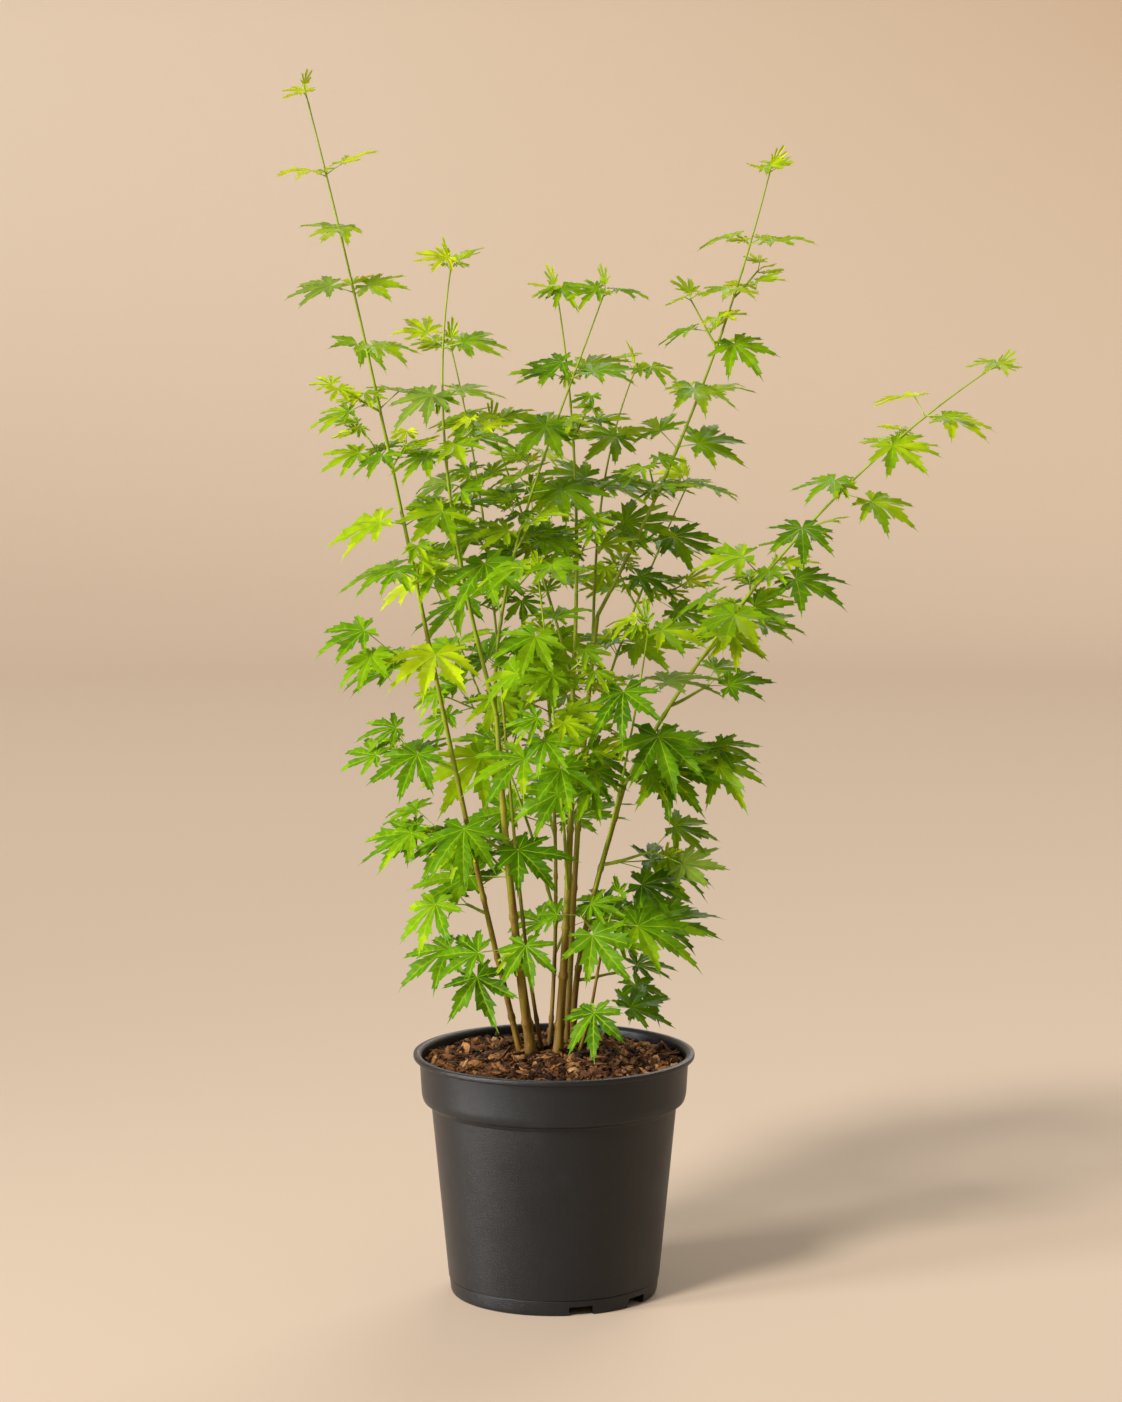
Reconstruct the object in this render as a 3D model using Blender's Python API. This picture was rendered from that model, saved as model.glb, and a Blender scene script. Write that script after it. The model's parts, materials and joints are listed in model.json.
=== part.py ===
"""A potted japanese maple: slim stems in a clump, leafy shoots, soil and a plain nursery pot.

Metres, +Z up, origin on the flat underside of the pot. +X is the side the longest shoot leans to,
and -Y is the front. Each stem, bough and leafy shoot is one solid and one object.
"""

import math
import random
from collections import namedtuple

import bmesh
import bpy
from mathutils import Matrix, Vector
from mathutils.bvhtree import BVHTree

MM = 0.001
UP = Vector((0.0, 0.0, 1.0))
GAP = 0.3 * MM

# Pot: a thin moulded shell turned round Z.
POT_HEIGHT = 195 * MM
RIM_RADIUS = 112.5 * MM
RIM_BEAD_HEIGHT = 4.5 * MM
COLLAR_TOP_RADIUS = 107.5 * MM
COLLAR_BOTTOM_RADIUS = 105.8 * MM
COLLAR_BOTTOM_Z = 157.5 * MM
BODY_TOP_RADIUS = 98.2 * MM
BODY_TOP_Z = 152.5 * MM
BODY_FOOT_RADIUS = 84.6 * MM
FOOT_RING_TOP_Z = 12 * MM
FOOT_RADIUS = 82.8 * MM
FOOT_RING_WIDTH = 6 * MM
WALL = 1.8 * MM
FLOOR_TOP_Z = 6 * MM
FLOOR_CHANNEL_Z = 3.5 * MM
CENTRE_PAD_RADIUS = 46 * MM
POT_SEGMENTS = 32
NOTCH_HEIGHT = 7.6 * MM
NOTCH_WIDTH = 22 * MM
NOTCH_DEPTH = 16 * MM
NOTCH_PAIR_ANGLES = (-75, 30, 135)
NOTCH_PAIR_STEP = 37

# Soil: bark compost, a little below the rim and mounded round the stems.
SOIL_EDGE_Z = 186 * MM
SOIL_TOP_Z = 190.5 * MM
SOIL_FLAT_RADIUS = 52 * MM
SOIL_SEGMENTS = 20

# Limbs. A root limb starts at foot (x, y) on the soil; any other starts on its parent at fraction `at`.
# low and high bow it off its straight chord, in metres; radii are in millimetres at both ends; bare is
# the share of its length that is a plain limb, and the rest is the axis of a leafy shoot.
Limb = namedtuple("Limb", "parent at foot tip low high r_foot r_tip bare")


def root_limb(foot, tip, low, high, radii, bare=1.0):
    """A stem that rises from the soil."""
    return Limb(None, 0.0, foot, tip, low, high, radii[0], radii[1], bare)


def branch(parent, at, tip, low, high, radii, bare=1.0):
    """A bough that leaves its parent at a fraction of the parent's length."""
    return Limb(parent, at, None, tip, low, high, radii[0], radii[1], bare)


LIMBS = {
    "left_leader": root_limb(
        (-0.027, 0.015), (-0.190, -0.055, 0.954), (-0.008, 0.010, 0), (0.011, -0.025, 0), (2.9, 1.0), 0.47),
    "left_trunk": root_limb(
        (-0.018, 0.006), (-0.045, -0.018, 0.468), (-0.004, -0.004, 0), (-0.004, 0.002, 0), (5.0, 2.2)),
    "left_bough": branch(
        "left_trunk", 1.0, (-0.078, -0.060, 0.822), (-0.020, -0.003, 0), (-0.031, -0.014, 0), (2.1, 1.0), 0.26),
    "inner_bough": branch(
        "left_bough", 0.01, (0.040, -0.003, 0.800), (-0.033, 0.005, 0), (-0.010, 0.020, 0), (1.8, 1.0), 0.30),
    "centre_trunk": root_limb(
        (0.003, 0.008), (0.015, 0.012, 0.485), (0.003, -0.001, 0), (0.004, -0.005, 0), (4.3, 2.1)),
    "centre_bough": branch(
        "centre_trunk", 1.0, (0.002, 0.020, 0.800), (0.010, 0.004, 0), (0.013, 0.004, 0), (2.0, 1.0), 0.24),
    "crossing_bough": branch(
        "centre_bough", 0.01, (-0.050, 0.052, 0.690), (0.005, -0.006, 0), (0.004, -0.005, 0), (1.6, 0.9), 0.40),
    "right_diagonal": root_limb(
        (0.016, 0.030), (0.056, 0.000, 0.410), (-0.017, 0.006, 0), (-0.006, -0.001, 0), (3.1, 2.1)),
    "right_bough": branch(
        "right_diagonal", 1.0, (0.340, -0.040, 0.742), (-0.031, -0.020, 0.018), (-0.026, -0.004, 0.029),
        (2.0, 0.9), 0.30),
    "right_stem": root_limb(
        (0.010, 0.044), (0.035, 0.050, 0.540), (-0.003, -0.001, 0), (-0.006, 0.005, 0), (3.2, 1.9)),
    "right_leader": branch(
        "right_stem", 1.0, (0.170, 0.018, 0.896), (0.014, -0.002, -0.006), (0.015, -0.005, -0.006),
        (1.8, 1.0), 0.22),
    "back_bough": branch(
        "right_stem", 0.90, (0.066, 0.102, 0.735), (-0.010, 0.007, 0), (-0.020, 0.013, 0), (1.5, 0.9), 0.30),
    "rear_right_bough": branch(
        "right_stem", 0.62, (0.110, 0.140, 0.640), (-0.012, 0.016, 0), (-0.006, 0.012, 0), (1.6, 0.9), 0.32),
    "slim_left_stem": root_limb(
        (-0.010, 0.026), (-0.082, 0.030, 0.757), (-0.009, -0.020, 0), (0.023, -0.008, 0), (1.9, 0.9), 0.50),
    "rear_stem": root_limb(
        (-0.004, 0.038), (-0.022, 0.130, 0.660), (0.020, -0.020, 0), (0.010, -0.020, 0), (2.1, 1.0), 0.52),
    "rear_left_bough": branch(
        "rear_stem", 0.22, (-0.098, 0.110, 0.560), (0.010, 0.004, 0), (0.004, 0.010, 0), (1.5, 0.9), 0.36),
    "short_right_stem": root_limb(
        (0.020, 0.014), (0.050, -0.022, 0.322), (0.005, 0, 0), (-0.007, -0.001, 0), (1.7, 1.1), 0.66),
    "front_bough": branch(
        "centre_trunk", 0.45, (-0.012, -0.118, 0.590), (0.004, -0.020, 0), (0.002, -0.016, 0), (1.6, 0.9), 0.30),
    "front_right_bough": branch(
        "right_diagonal", 0.60, (0.072, -0.112, 0.545), (0.004, -0.016, 0), (0.004, -0.014, 0), (1.5, 0.9), 0.34),
}
STEM_SIDES = 6
RING_STEP = 58 * MM
FOOT_FLARE = 1.30
FOOT_FLARE_HEIGHT = 10 * MM
TAPER_POWER = 0.8

# Side shoots: where each leaves its limb, its compass direction (0 is +X, 90 is +Y), how steeply it
# climbs, its length, how many pairs of leaves it bears and the length of their middle lobe.
Side = namedtuple("Side", "parent at compass climb length pairs leaf")
SIDES = {
    "low_left_shoot": Side("left_leader", 0.085, 200, 24, 0.014, 1, 0.068),
    "left_shoot_1": Side("left_leader", 0.150, 168, 22, 0.018, 1, 0.066),
    "left_shoot_2": Side("left_leader", 0.225, 205, 26, 0.036, 2, 0.056),
    "left_shoot_3": Side("left_leader", 0.305, 176, 24, 0.044, 2, 0.050),
    "left_shoot_4": Side("left_leader", 0.400, 214, 30, 0.052, 2, 0.064),
    "front_left_shoot": Side("left_trunk", 0.30, 252, 18, 0.026, 1, 0.064),
    "left_trunk_shoot": Side("left_trunk", 0.60, 236, 26, 0.040, 2, 0.054),
    "back_left_shoot": Side("slim_left_stem", 0.24, 132, 28, 0.042, 2, 0.056),
    "centre_shoot": Side("centre_trunk", 0.72, 284, 24, 0.046, 2, 0.054),
    "centre_back_shoot": Side("rear_stem", 0.16, 74, 24, 0.036, 1, 0.060),
    "rear_shoot": Side("rear_stem", 0.36, 100, 30, 0.046, 2, 0.056),
    "low_right_shoot": Side("short_right_stem", 0.30, -66, 10, 0.018, 1, 0.062),
    "right_shoot_1": Side("right_diagonal", 0.26, 2, 10, 0.032, 1, 0.058),
    "right_shoot_2": Side("right_diagonal", 0.70, -14, 16, 0.044, 2, 0.058),
    "right_back_shoot": Side("right_stem", 0.24, 44, 20, 0.042, 1, 0.062),
    "right_shoot_3": Side("right_bough", 0.07, -26, 4, 0.052, 2, 0.066),
    "right_shoot_4": Side("right_bough", 0.17, 20, 24, 0.036, 1, 0.054),
    "right_fork_shoot": Side("right_bough", 0.27, 34, 46, 0.104, 4, 0.042),
}

# Leafy shoots: how leaves are spaced, sized and turned. A share is of the length of the middle lobe.
TWIG_SIDES = 3
TWIG_TIP_RADIUS = 1.0 * MM
TWIG_ROOT_RADIUS = 1.5 * MM
SIDE_TWIG_STEP = 20 * MM
LEAF_STEP = 45 * MM
LEAF_BY_HEIGHT = [(0.30, 0.068), (0.48, 0.057), (0.70, 0.048), (0.86, 0.042), (0.96, 0.035)]
LEAF_SPREAD = (0.90, 1.08)
TIP_LEAF_SHARE = 0.70
TIP_TUFT_SHARE = 0.60
TIP_TUFT_LEAN = 0.45
TIP_TUFT_ROOT = 1.3 * MM
LEAF_CLIMB = 34
LAST_LEAF_CLIMB = 44
PAIR_OFFSET = 1.6 * MM
TWIGLET_CHANCE = 0.31
TWIGLET_CHANCE_ON = {"right_bough": 0.10, "right_leader": 0.22, "left_leader": 0.28}
TWIGLET_TOP_Z = 0.83
TWIGLET_LENGTH = 34 * MM
TWIGLET_RADIUS = 1.0 * MM
TWIGLET_LEAF_SHARE = 0.74

# A leaf aims its blade at the light more squarely the lower and the more shaded it is.
LIGHT = Vector((-0.30, -0.86, 0.42)).normalized()
CROWN_OPEN_Z = 0.80
CROWN_SHADE_DEPTH = 0.50
STALK_SHARE_HIGH, STALK_SHARE_LOW = 0.40, 0.60
FACING_HIGH, FACING_LOW = 0.30, 0.90
OUTWARD_HIGH, OUTWARD_LOW = 0.10, 0.44
UPWARD_HIGH, UPWARD_LOW = 1.0, 0.75
BLADE_SCATTER = 0.20
BLADE_SWING = 54
STALK_TURN = 0.35
STALK_BEND_AT = 0.55

# How hard a place is sought for a leaf, and how clear of everything else it stays.
TRIES = 9
FIRST_AIM_SPREAD = 8
AIM_SPREAD_STEP = 7
SHRINK_STEP = 0.022
CLEAR_SWELL = 0.45 * MM
ROOT_SHARE = 0.45

# Leaf blade: lobes as (angle from the middle lobe, share of its length), and the notches between.
LOBES_LARGE = [(-112, 0.42), (-70, 0.74), (-33, 0.94), (0, 1.0), (33, 0.94), (70, 0.74), (112, 0.42)]
LOBES_SMALL = [(-82, 0.60), (-39, 0.90), (0, 1.0), (39, 0.90), (82, 0.60)]
NOTCH_SHARE = 0.45
LARGE_LEAF = 55 * MM
BLADE_CENTRE = 0.06
BLADE_DROOP = 0.15
BLADE_THICKNESS_SHARE = 0.023
PETIOLE_RADIUS = 0.65 * MM

# Fusing. A union can fail where two edges happen to meet, so other stalk radii, the other solver and
# the other way to cut a many-sided face into triangles are tried in turn.
STALK_RADII = [PETIOLE_RADIUS * share for share in (1.0, 1.06, 0.94, 1.12, 0.88)]
JOINS = [("EXACT", "BEAUTY"), ("EXACT", "EAR_CLIP"), ("MANIFOLD", "BEAUTY"), ("MANIFOLD", "EAR_CLIP")]
WELD = 0.004 * MM
FLAT = 0.99999

# Colours: linear base colour and roughness.
PLASTIC = ((0.022, 0.024, 0.027, 1.0), 0.50)
COMPOST = ((0.105, 0.048, 0.022, 1.0), 0.95)
BARK = ((0.20, 0.19, 0.055, 1.0), 0.62)
GREEN_WOOD = ((0.21, 0.30, 0.06, 1.0), 0.50)
LEAF_GREEN = ((0.085, 0.235, 0.022, 1.0), 0.50)


# ---------------------------------------------------------------------------------------------------
# The plan of the plant: paths, shoots and leaves
# ---------------------------------------------------------------------------------------------------

Leaf = namedtuple("Leaf", "petiole forward normal radius")


def compass(degrees):
    """The level direction at a compass angle."""
    return Vector((math.cos(math.radians(degrees)), math.sin(math.radians(degrees)), 0.0))


def bowed_path(start, end, low, high):
    """Return the point at fraction t of a limb that bows off its chord by low and high."""
    low_handle = start.lerp(end, 1 / 3) + low
    high_handle = start.lerp(end, 2 / 3) + high

    def point(t):
        s = 1 - t
        return start * s ** 3 + low_handle * (3 * s * s * t) + high_handle * (3 * s * t * t) + end * t ** 3
    return point


def path_length(path, steps=32):
    """The length of a path."""
    return sum((path((k + 1) / steps) - path(k / steps)).length for k in range(steps))


def tangent(path, t):
    """The direction in which a path runs at t."""
    return (path(t + 0.004) - path(t - 0.004)).normalized()


def sweep(points, radii, sides, up=None):
    """A closed tube of flat-ended rings: vertices and faces."""
    verts = []
    axis_before = (points[1] - points[0]).normalized()
    side = up if up is not None else axis_before.orthogonal()
    for k, centre in enumerate(points):
        ahead = points[min(k + 1, len(points) - 1)]
        behind = points[max(k - 1, 0)]
        axis = (ahead - behind).normalized()
        side = (side - axis * side.dot(axis)).normalized()
        across = axis.cross(side)
        for j in range(sides):
            angle = 2 * math.pi * j / sides
            verts.append(centre + (side * math.cos(angle) + across * math.sin(angle)) * radii[k])
    faces = [tuple(reversed(range(sides)))]
    for k in range(len(points) - 1):
        for j in range(sides):
            a = k * sides + j
            b = k * sides + (j + 1) % sides
            faces.append((a, b, b + sides, a + sides))
    last = (len(points) - 1) * sides
    faces.append(tuple(range(last, last + sides)))
    return verts, faces


def limb_radius(limb, path, t):
    """A limb's radius at t: an even taper, with a flare at the foot of a stem."""
    radius = (limb.r_foot + (limb.r_tip - limb.r_foot) * t ** TAPER_POWER) * MM
    if limb.parent is None:
        rise = path(t).z - SOIL_TOP_Z
        radius *= 1 + (FOOT_FLARE - 1) * math.exp(-rise / FOOT_FLARE_HEIGHT)
    return radius


def clear_start(path, radius, parent_path, parent_radius, at):
    """The first fraction of a path whose whole end face is clear of its parent's bark or end."""
    samples = [(parent_path(k / 200), parent_radius(k / 200)) for k in range(201)]
    end = parent_path(1.0)
    end_axis = tangent(parent_path, 1.0)
    t = 0.0
    while t < 0.5:
        centre = path(t)
        axis = tangent(path, t)
        side = axis.orthogonal().normalized()
        across = axis.cross(side)
        ring = [centre + (side * math.cos(a) + across * math.sin(a)) * radius
                for a in (2 * math.pi * j / 12 for j in range(12))]
        if at >= 1.0:
            room = min((p - end).dot(end_axis) for p in ring)
        else:
            room = min(distance_to_chain(p, samples) for p in ring)
        if room > GAP:
            return t
        t += 0.001
    return t


def distance_to_chain(point, samples):
    """How far a point is from the bark of a limb given as a chain of centres and radii."""
    best = 1.0
    for (a, ra), (b, rb) in zip(samples, samples[1:]):
        along = b - a
        s = max(0.0, min(1.0, (point - a).dot(along) / along.length_squared))
        best = min(best, (point - a.lerp(b, s)).length - (ra + (rb - ra) * s))
    return best


def leaf_size_at(height):
    """The middle lobe's length on a leaf at a height."""
    table = LEAF_BY_HEIGHT
    if height <= table[0][0]:
        return table[0][1]
    for (z0, r0), (z1, r1) in zip(table, table[1:]):
        if height <= z1:
            return r0 + (r1 - r0) * (height - z0) / (z1 - z0)
    return table[-1][1]


def mix(high, low, share):
    """Between the value at the crown's open top and the value deep in it."""
    return high + (low - high) * share


def aim_leaf(root, out, axis, radius, rng):
    """A leaf whose stalk leaves root along out and whose blade turns to the light, or None if it cannot."""
    level = Vector((out.x, out.y, 0.0))
    if level.length < 0.25:
        level = Vector((axis.x, axis.y, 0.0)) + compass(rng.uniform(0, 360)) * 0.3
    level.normalize()
    shade_share = max(0.0, min(1.0, (CROWN_OPEN_Z - root.z) / CROWN_SHADE_DEPTH))
    stalk = radius * mix(STALK_SHARE_HIGH, STALK_SHARE_LOW, shade_share) * rng.uniform(0.75, 1.25)
    bend = root + out * (stalk * STALK_BEND_AT)
    end = bend + (out * 0.35 + level * 0.65).normalized() * (stalk * (1 - STALK_BEND_AT))
    scatter = Vector((rng.gauss(0, BLADE_SCATTER), rng.gauss(0, BLADE_SCATTER), 0.0))
    normal = (UP * mix(UPWARD_HIGH, UPWARD_LOW, shade_share)
              + LIGHT * mix(FACING_HIGH, FACING_LOW, shade_share)
              + level * mix(OUTWARD_HIGH, OUTWARD_LOW, shade_share) + scatter).normalized()
    forward = (level - normal * level.dot(normal)).normalized()
    swing = Matrix.Rotation(math.radians(rng.uniform(-BLADE_SWING, BLADE_SWING)), 3, normal)
    forward = swing @ forward
    if forward.dot((end - bend).normalized()) < STALK_TURN:
        return None
    petiole = [root, root.lerp(bend, 0.98), end] if radius >= LARGE_LEAF else [root, end]
    return Leaf(petiole, forward, normal, radius)


def leaf_solid(leaf, root_share=0.0, swell=0.0, stalk=PETIOLE_RADIUS):
    """A leaf and its stalk as one closed mesh. root_share leaves the root of the stalk off."""
    points = list(leaf.petiole)
    points[0] = points[0].lerp(points[1], root_share)
    points.reverse()
    sideways = leaf.normal.cross(leaf.forward)
    centre = leaf.petiole[-1] + leaf.forward * (BLADE_CENTRE * leaf.radius)
    lobes = LOBES_LARGE if leaf.radius >= LARGE_LEAF else LOBES_SMALL
    half = leaf.radius * BLADE_THICKNESS_SHARE / 2 + swell
    stalk += swell
    verts, faces = sweep(points, [stalk] * len(points), 3, up=leaf.normal)
    faces.pop(0)
    for pin, angle in enumerate((90, -30, 210)):
        turn = math.radians(angle)
        verts[pin] = points[0] + (leaf.normal * math.sin(turn) + sideways * math.cos(turn)) * stalk

    def rim(angle, share):
        reach = leaf.radius * share
        flat = leaf.forward * math.cos(angle) + sideways * math.sin(angle)
        return centre + flat * (reach + swell) - leaf.normal * (BLADE_DROOP * reach * share)

    outline = []
    for k, (angle, share) in enumerate(lobes):
        outline.append(rim(math.radians(angle), share))
        if k + 1 < len(lobes):
            next_angle, next_share = lobes[k + 1]
            notch = NOTCH_SHARE * min(share, next_share) ** 0.5
            outline.append(rim(math.radians((angle + next_angle) / 2), notch))
    first = len(verts)
    verts += outline
    last = len(verts) - 1
    top = len(verts)
    verts.append(centre + leaf.normal * half)
    bottom = len(verts)
    verts.append(centre - leaf.normal * half)
    for a in range(first, last):
        faces.append((top, a, a + 1))
        faces.append((bottom, a + 1, a))
    faces += [(top, last, 1), (top, 1, 0), (top, 0, 2), (top, 2, first)]
    faces += [(bottom, 1, last), (bottom, first, 2), (bottom, 2, 1)]
    return verts, faces


class Space:
    """What has been placed, so that nothing grows through anything else."""

    def __init__(self):
        self.items = []

    @staticmethod
    def measure(solid):
        """A search tree for a solid, with the ball round it."""
        verts, faces = solid
        centre = sum(verts, Vector()) / len(verts)
        reach = max((v - centre).length for v in verts)
        return BVHTree.FromPolygons(verts, faces), centre, reach

    @staticmethod
    def meet(a, b):
        """Whether two measured solids touch."""
        if (a[1] - b[1]).length > a[2] + b[2]:
            return False
        return bool(a[0].overlap(b[0]))

    def add(self, owner, whole, blade=None):
        """Keep a solid, and its part away from its root."""
        self.items.append((owner, self.measure(whole), self.measure(blade) if blade else None))

    def blocked(self, owner, whole, away):
        """Whether a candidate would touch another solid, other than at its own root."""
        whole = self.measure(whole)
        away = self.measure(away)
        for other, body, blade in self.items:
            if other != owner:
                if self.meet(whole, body):
                    return True
            elif self.meet(away, body) or (blade and self.meet(whole, blade)):
                return True
        return False


def tube_between(path, t0, t1, radius, sides, step):
    """Points and radii of a path from t0 to t1, for sweep."""
    length = path_length(path) * (t1 - t0)
    count = max(2, int(round(length / step)) + 1)
    ts = [t0 + (t1 - t0) * k / (count - 1) for k in range(count)]
    return sweep([path(t) for t in ts], [radius(t) for t in ts], sides)


def side_of(axis):
    """The direction across a shoot that is nearest to straight up."""
    side = UP - axis * UP.dot(axis)
    return side.normalized() if side.length > 0.2 else axis.orthogonal().normalized()


def try_leaf(space, owner, root, axis, turn, climb, radius, rng):
    """Place one leaf, with small changes of aim until it is clear, or give it up."""
    side = side_of(axis)
    for attempt in range(TRIES):
        spread = FIRST_AIM_SPREAD + AIM_SPREAD_STEP * attempt
        around = Matrix.Rotation(math.radians(turn + rng.uniform(-spread, spread)), 3, axis)
        radial = around @ side
        rise = math.radians(climb + rng.uniform(-12, 12))
        out = (radial * math.cos(rise) + axis * math.sin(rise)).normalized()
        size = radius * rng.uniform(*LEAF_SPREAD) * (1 - SHRINK_STEP * attempt)
        leaf = aim_leaf(root, out, axis, size, rng)
        if leaf is None:
            continue
        whole = leaf_solid(leaf, 0.0, CLEAR_SWELL)
        away = leaf_solid(leaf, ROOT_SHARE, CLEAR_SWELL)
        if not space.blocked(owner, whole, away):
            space.add(owner, leaf_solid(leaf), leaf_solid(leaf, ROOT_SHARE))
            return leaf
    return None


def grow_shoot(space, owner, path, first, pairs, leaf_at, rng, turn, chance):
    """Leaves in crossed pairs up a shoot; by chance, a twiglet takes the place of a leaf."""
    twigs = []
    leaves = []
    for k in range(pairs):
        share = (k + 0.55) / pairs if k + 1 < pairs else 0.985
        t = first + (1 - first) * share
        axis = tangent(path, min(t, 0.99))
        size = leaf_at(path(t).z) * (1 - (1 - TIP_LEAF_SHARE) * share ** 3)
        for half in (0, 1):
            aim = turn + 90 * k + 180 * half
            root = path(t) - axis * (PAIR_OFFSET * half)
            if chance and root.z < TWIGLET_TOP_Z and k < pairs - 2 and rng.random() < chance:
                twig, more = grow_twiglet(space, owner, root, axis, aim, size, rng)
                if twig:
                    twigs.append(twig)
                    leaves += more
                    continue
            climb = LEAF_CLIMB if k + 1 < pairs else LAST_LEAF_CLIMB
            leaf = try_leaf(space, owner, root, axis, aim, climb, size, rng)
            if leaf:
                leaves.append(leaf)
    if chance:
        leaves.append(tip_leaf(space, owner, path, size * TIP_TUFT_SHARE, rng))
    return twigs, leaves


def tip_leaf(space, owner, path, radius, rng):
    """The youngest leaf, half folded, which stands on with the shoot."""
    lean = compass(rng.uniform(0, 360)) * TIP_TUFT_LEAN + LIGHT * 0.15
    axis = (tangent(path, 0.99) + lean).normalized()
    facing = Matrix.Rotation(math.radians(rng.uniform(-65, 65)), 3, axis) @ LIGHT
    normal = (facing - axis * facing.dot(axis)).normalized()
    root = path(1.0) - axis * TIP_TUFT_ROOT
    leaf = Leaf([root, root + axis * (radius * 0.30)], axis, normal, radius)
    space.add(owner, leaf_solid(leaf), leaf_solid(leaf, ROOT_SHARE))
    return leaf


def twiglet_tube(path, from_share=0.0, swell=0.0):
    """A twiglet's straight tube."""
    return tube_between(path, from_share, 1.0, lambda t: TWIGLET_RADIUS + swell, TWIG_SIDES, TWIGLET_LENGTH)


def grow_twiglet(space, owner, root, axis, turn, size, rng):
    """A short side twig with two small pairs of leaves: its path and the leaves, or None and no leaf."""
    radial = Matrix.Rotation(math.radians(turn + rng.uniform(-25, 25)), 3, axis) @ side_of(axis)
    out = (radial * 0.80 + axis * 0.60).normalized()
    length = TWIGLET_LENGTH * rng.uniform(0.75, 1.3)
    end = root + out * length + UP * (0.12 * length)
    path = bowed_path(root, end, -UP * (0.05 * length), Vector())
    whole = twiglet_tube(path, 0.0, CLEAR_SWELL)
    away = twiglet_tube(path, ROOT_SHARE, CLEAR_SWELL)
    if space.blocked(owner, whole, away):
        return None, []
    space.add(owner, twiglet_tube(path))
    leaves = grow_shoot(space, owner, path, 0.15, 2, lambda z: size * TWIGLET_LEAF_SHARE, rng, turn, 0.0)[1]
    return path, leaves


def lay_limbs(space):
    """The path, the radius and the clear start of every limb, and the solid of its bare part."""
    paths, radii, starts, solids = {}, {}, {}, {}
    for name, limb in LIMBS.items():
        if limb.parent is None:
            start = Vector((limb.foot[0], limb.foot[1], SOIL_TOP_Z + GAP))
        else:
            start = paths[limb.parent](limb.at)
        path = bowed_path(start, Vector(limb.tip), Vector(limb.low), Vector(limb.high))
        paths[name] = path
        radii[name] = lambda t, limb=limb, path=path: limb_radius(limb, path, t)
        if limb.parent is None:
            starts[name] = 0.0
        else:
            starts[name] = clear_start(path, radii[name](0), paths[limb.parent], radii[limb.parent], limb.at)
        step = min(RING_STEP, path_length(path) * limb.bare / 3)
        tube = tube_between(path, starts[name], limb.bare, radii[name], STEM_SIDES, step)
        if limb.parent is None:
            for v in tube[0][:STEM_SIDES]:
                v.z = SOIL_TOP_Z + GAP
        solids[name] = tube
        space.add(name, tube)
    return paths, radii, starts, solids


def lay_shoots(space, paths, radii):
    """The axis of every leafy shoot: its name, path, first fraction, pairs of leaves and leaf size."""
    shoots = []
    for name, limb in LIMBS.items():
        if limb.bare < 1.0:
            length = path_length(paths[name]) * (1 - limb.bare)
            first = limb.bare + GAP / path_length(paths[name])
            pairs = max(3, int(round(length / LEAF_STEP)))
            chance = TWIGLET_CHANCE_ON.get(name, TWIGLET_CHANCE)
            shoots.append((name + "_leaves", paths[name], first, pairs, leaf_size_at, chance))
    for name, side in SIDES.items():
        start = paths[side.parent](side.at)
        climb = math.radians(side.climb)
        out = compass(side.compass) * math.cos(climb) + UP * math.sin(climb)
        end = start + out * side.length
        path = bowed_path(start, end, -UP * (0.06 * side.length), UP * (0.02 * side.length))
        first = clear_start(path, TWIG_ROOT_RADIUS, paths[side.parent], radii[side.parent], side.at)
        shoots.append((name, path, first, side.pairs, lambda z, size=side.leaf: size, 0.0))
    return shoots


def shoot_tube(path, first, chance):
    """The tapering axis of a leafy shoot."""
    step = LEAF_STEP if chance else SIDE_TWIG_STEP

    def radius(t):
        return TWIG_ROOT_RADIUS + (TWIG_TIP_RADIUS - TWIG_ROOT_RADIUS) * (t - first) / (1 - first)
    return tube_between(path, first, 1.0, radius, TWIG_SIDES, step)


def plan_plant(space):
    """Lay out the whole plant: limb solids, and for each leafy shoot its twigs and leaves."""
    paths, radii, starts, limb_solids = lay_limbs(space)
    shoots = lay_shoots(space, paths, radii)
    for name, path, first, pairs, leaf_at, chance in shoots:
        space.add(name, shoot_tube(path, first, chance))
    masses = {}
    for name, path, first, pairs, leaf_at, chance in shoots:
        rng = random.Random(name)
        turn = rng.uniform(60, 120)
        twigs, leaves = grow_shoot(space, name, path, first, pairs, leaf_at, rng, turn, chance)
        masses[name] = (path, first, twigs, leaves, chance)
    return limb_solids, masses


# ---------------------------------------------------------------------------------------------------
# Objects
# ---------------------------------------------------------------------------------------------------

def make_material(name, look):
    """A plain Principled material."""
    colour, roughness = look
    material = bpy.data.materials.new(name)
    material.use_nodes = True
    shader = material.node_tree.nodes["Principled BSDF"]
    shader.inputs["Base Color"].default_value = colour
    shader.inputs["Roughness"].default_value = roughness
    material.diffuse_color = colour
    return material


def make_object(name, verts, faces, material, collection=None):
    """One object from a closed mesh, with its faces turned out."""
    mesh = bpy.data.meshes.new(name)
    mesh.from_pydata([tuple(v) for v in verts], [], faces)
    work = bmesh.new()
    work.from_mesh(mesh)
    bmesh.ops.recalc_face_normals(work, faces=work.faces)
    work.to_mesh(mesh)
    work.free()
    if material:
        mesh.materials.append(material)
    piece = bpy.data.objects.new(name, mesh)
    (collection or bpy.context.scene.collection).objects.link(piece)
    return piece


def shade(piece, degrees=35):
    """Smooth shading with sharp edges where the surface turns."""
    piece.data.shade_smooth()
    piece.data.set_sharp_from_angle(angle=math.radians(degrees))


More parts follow.
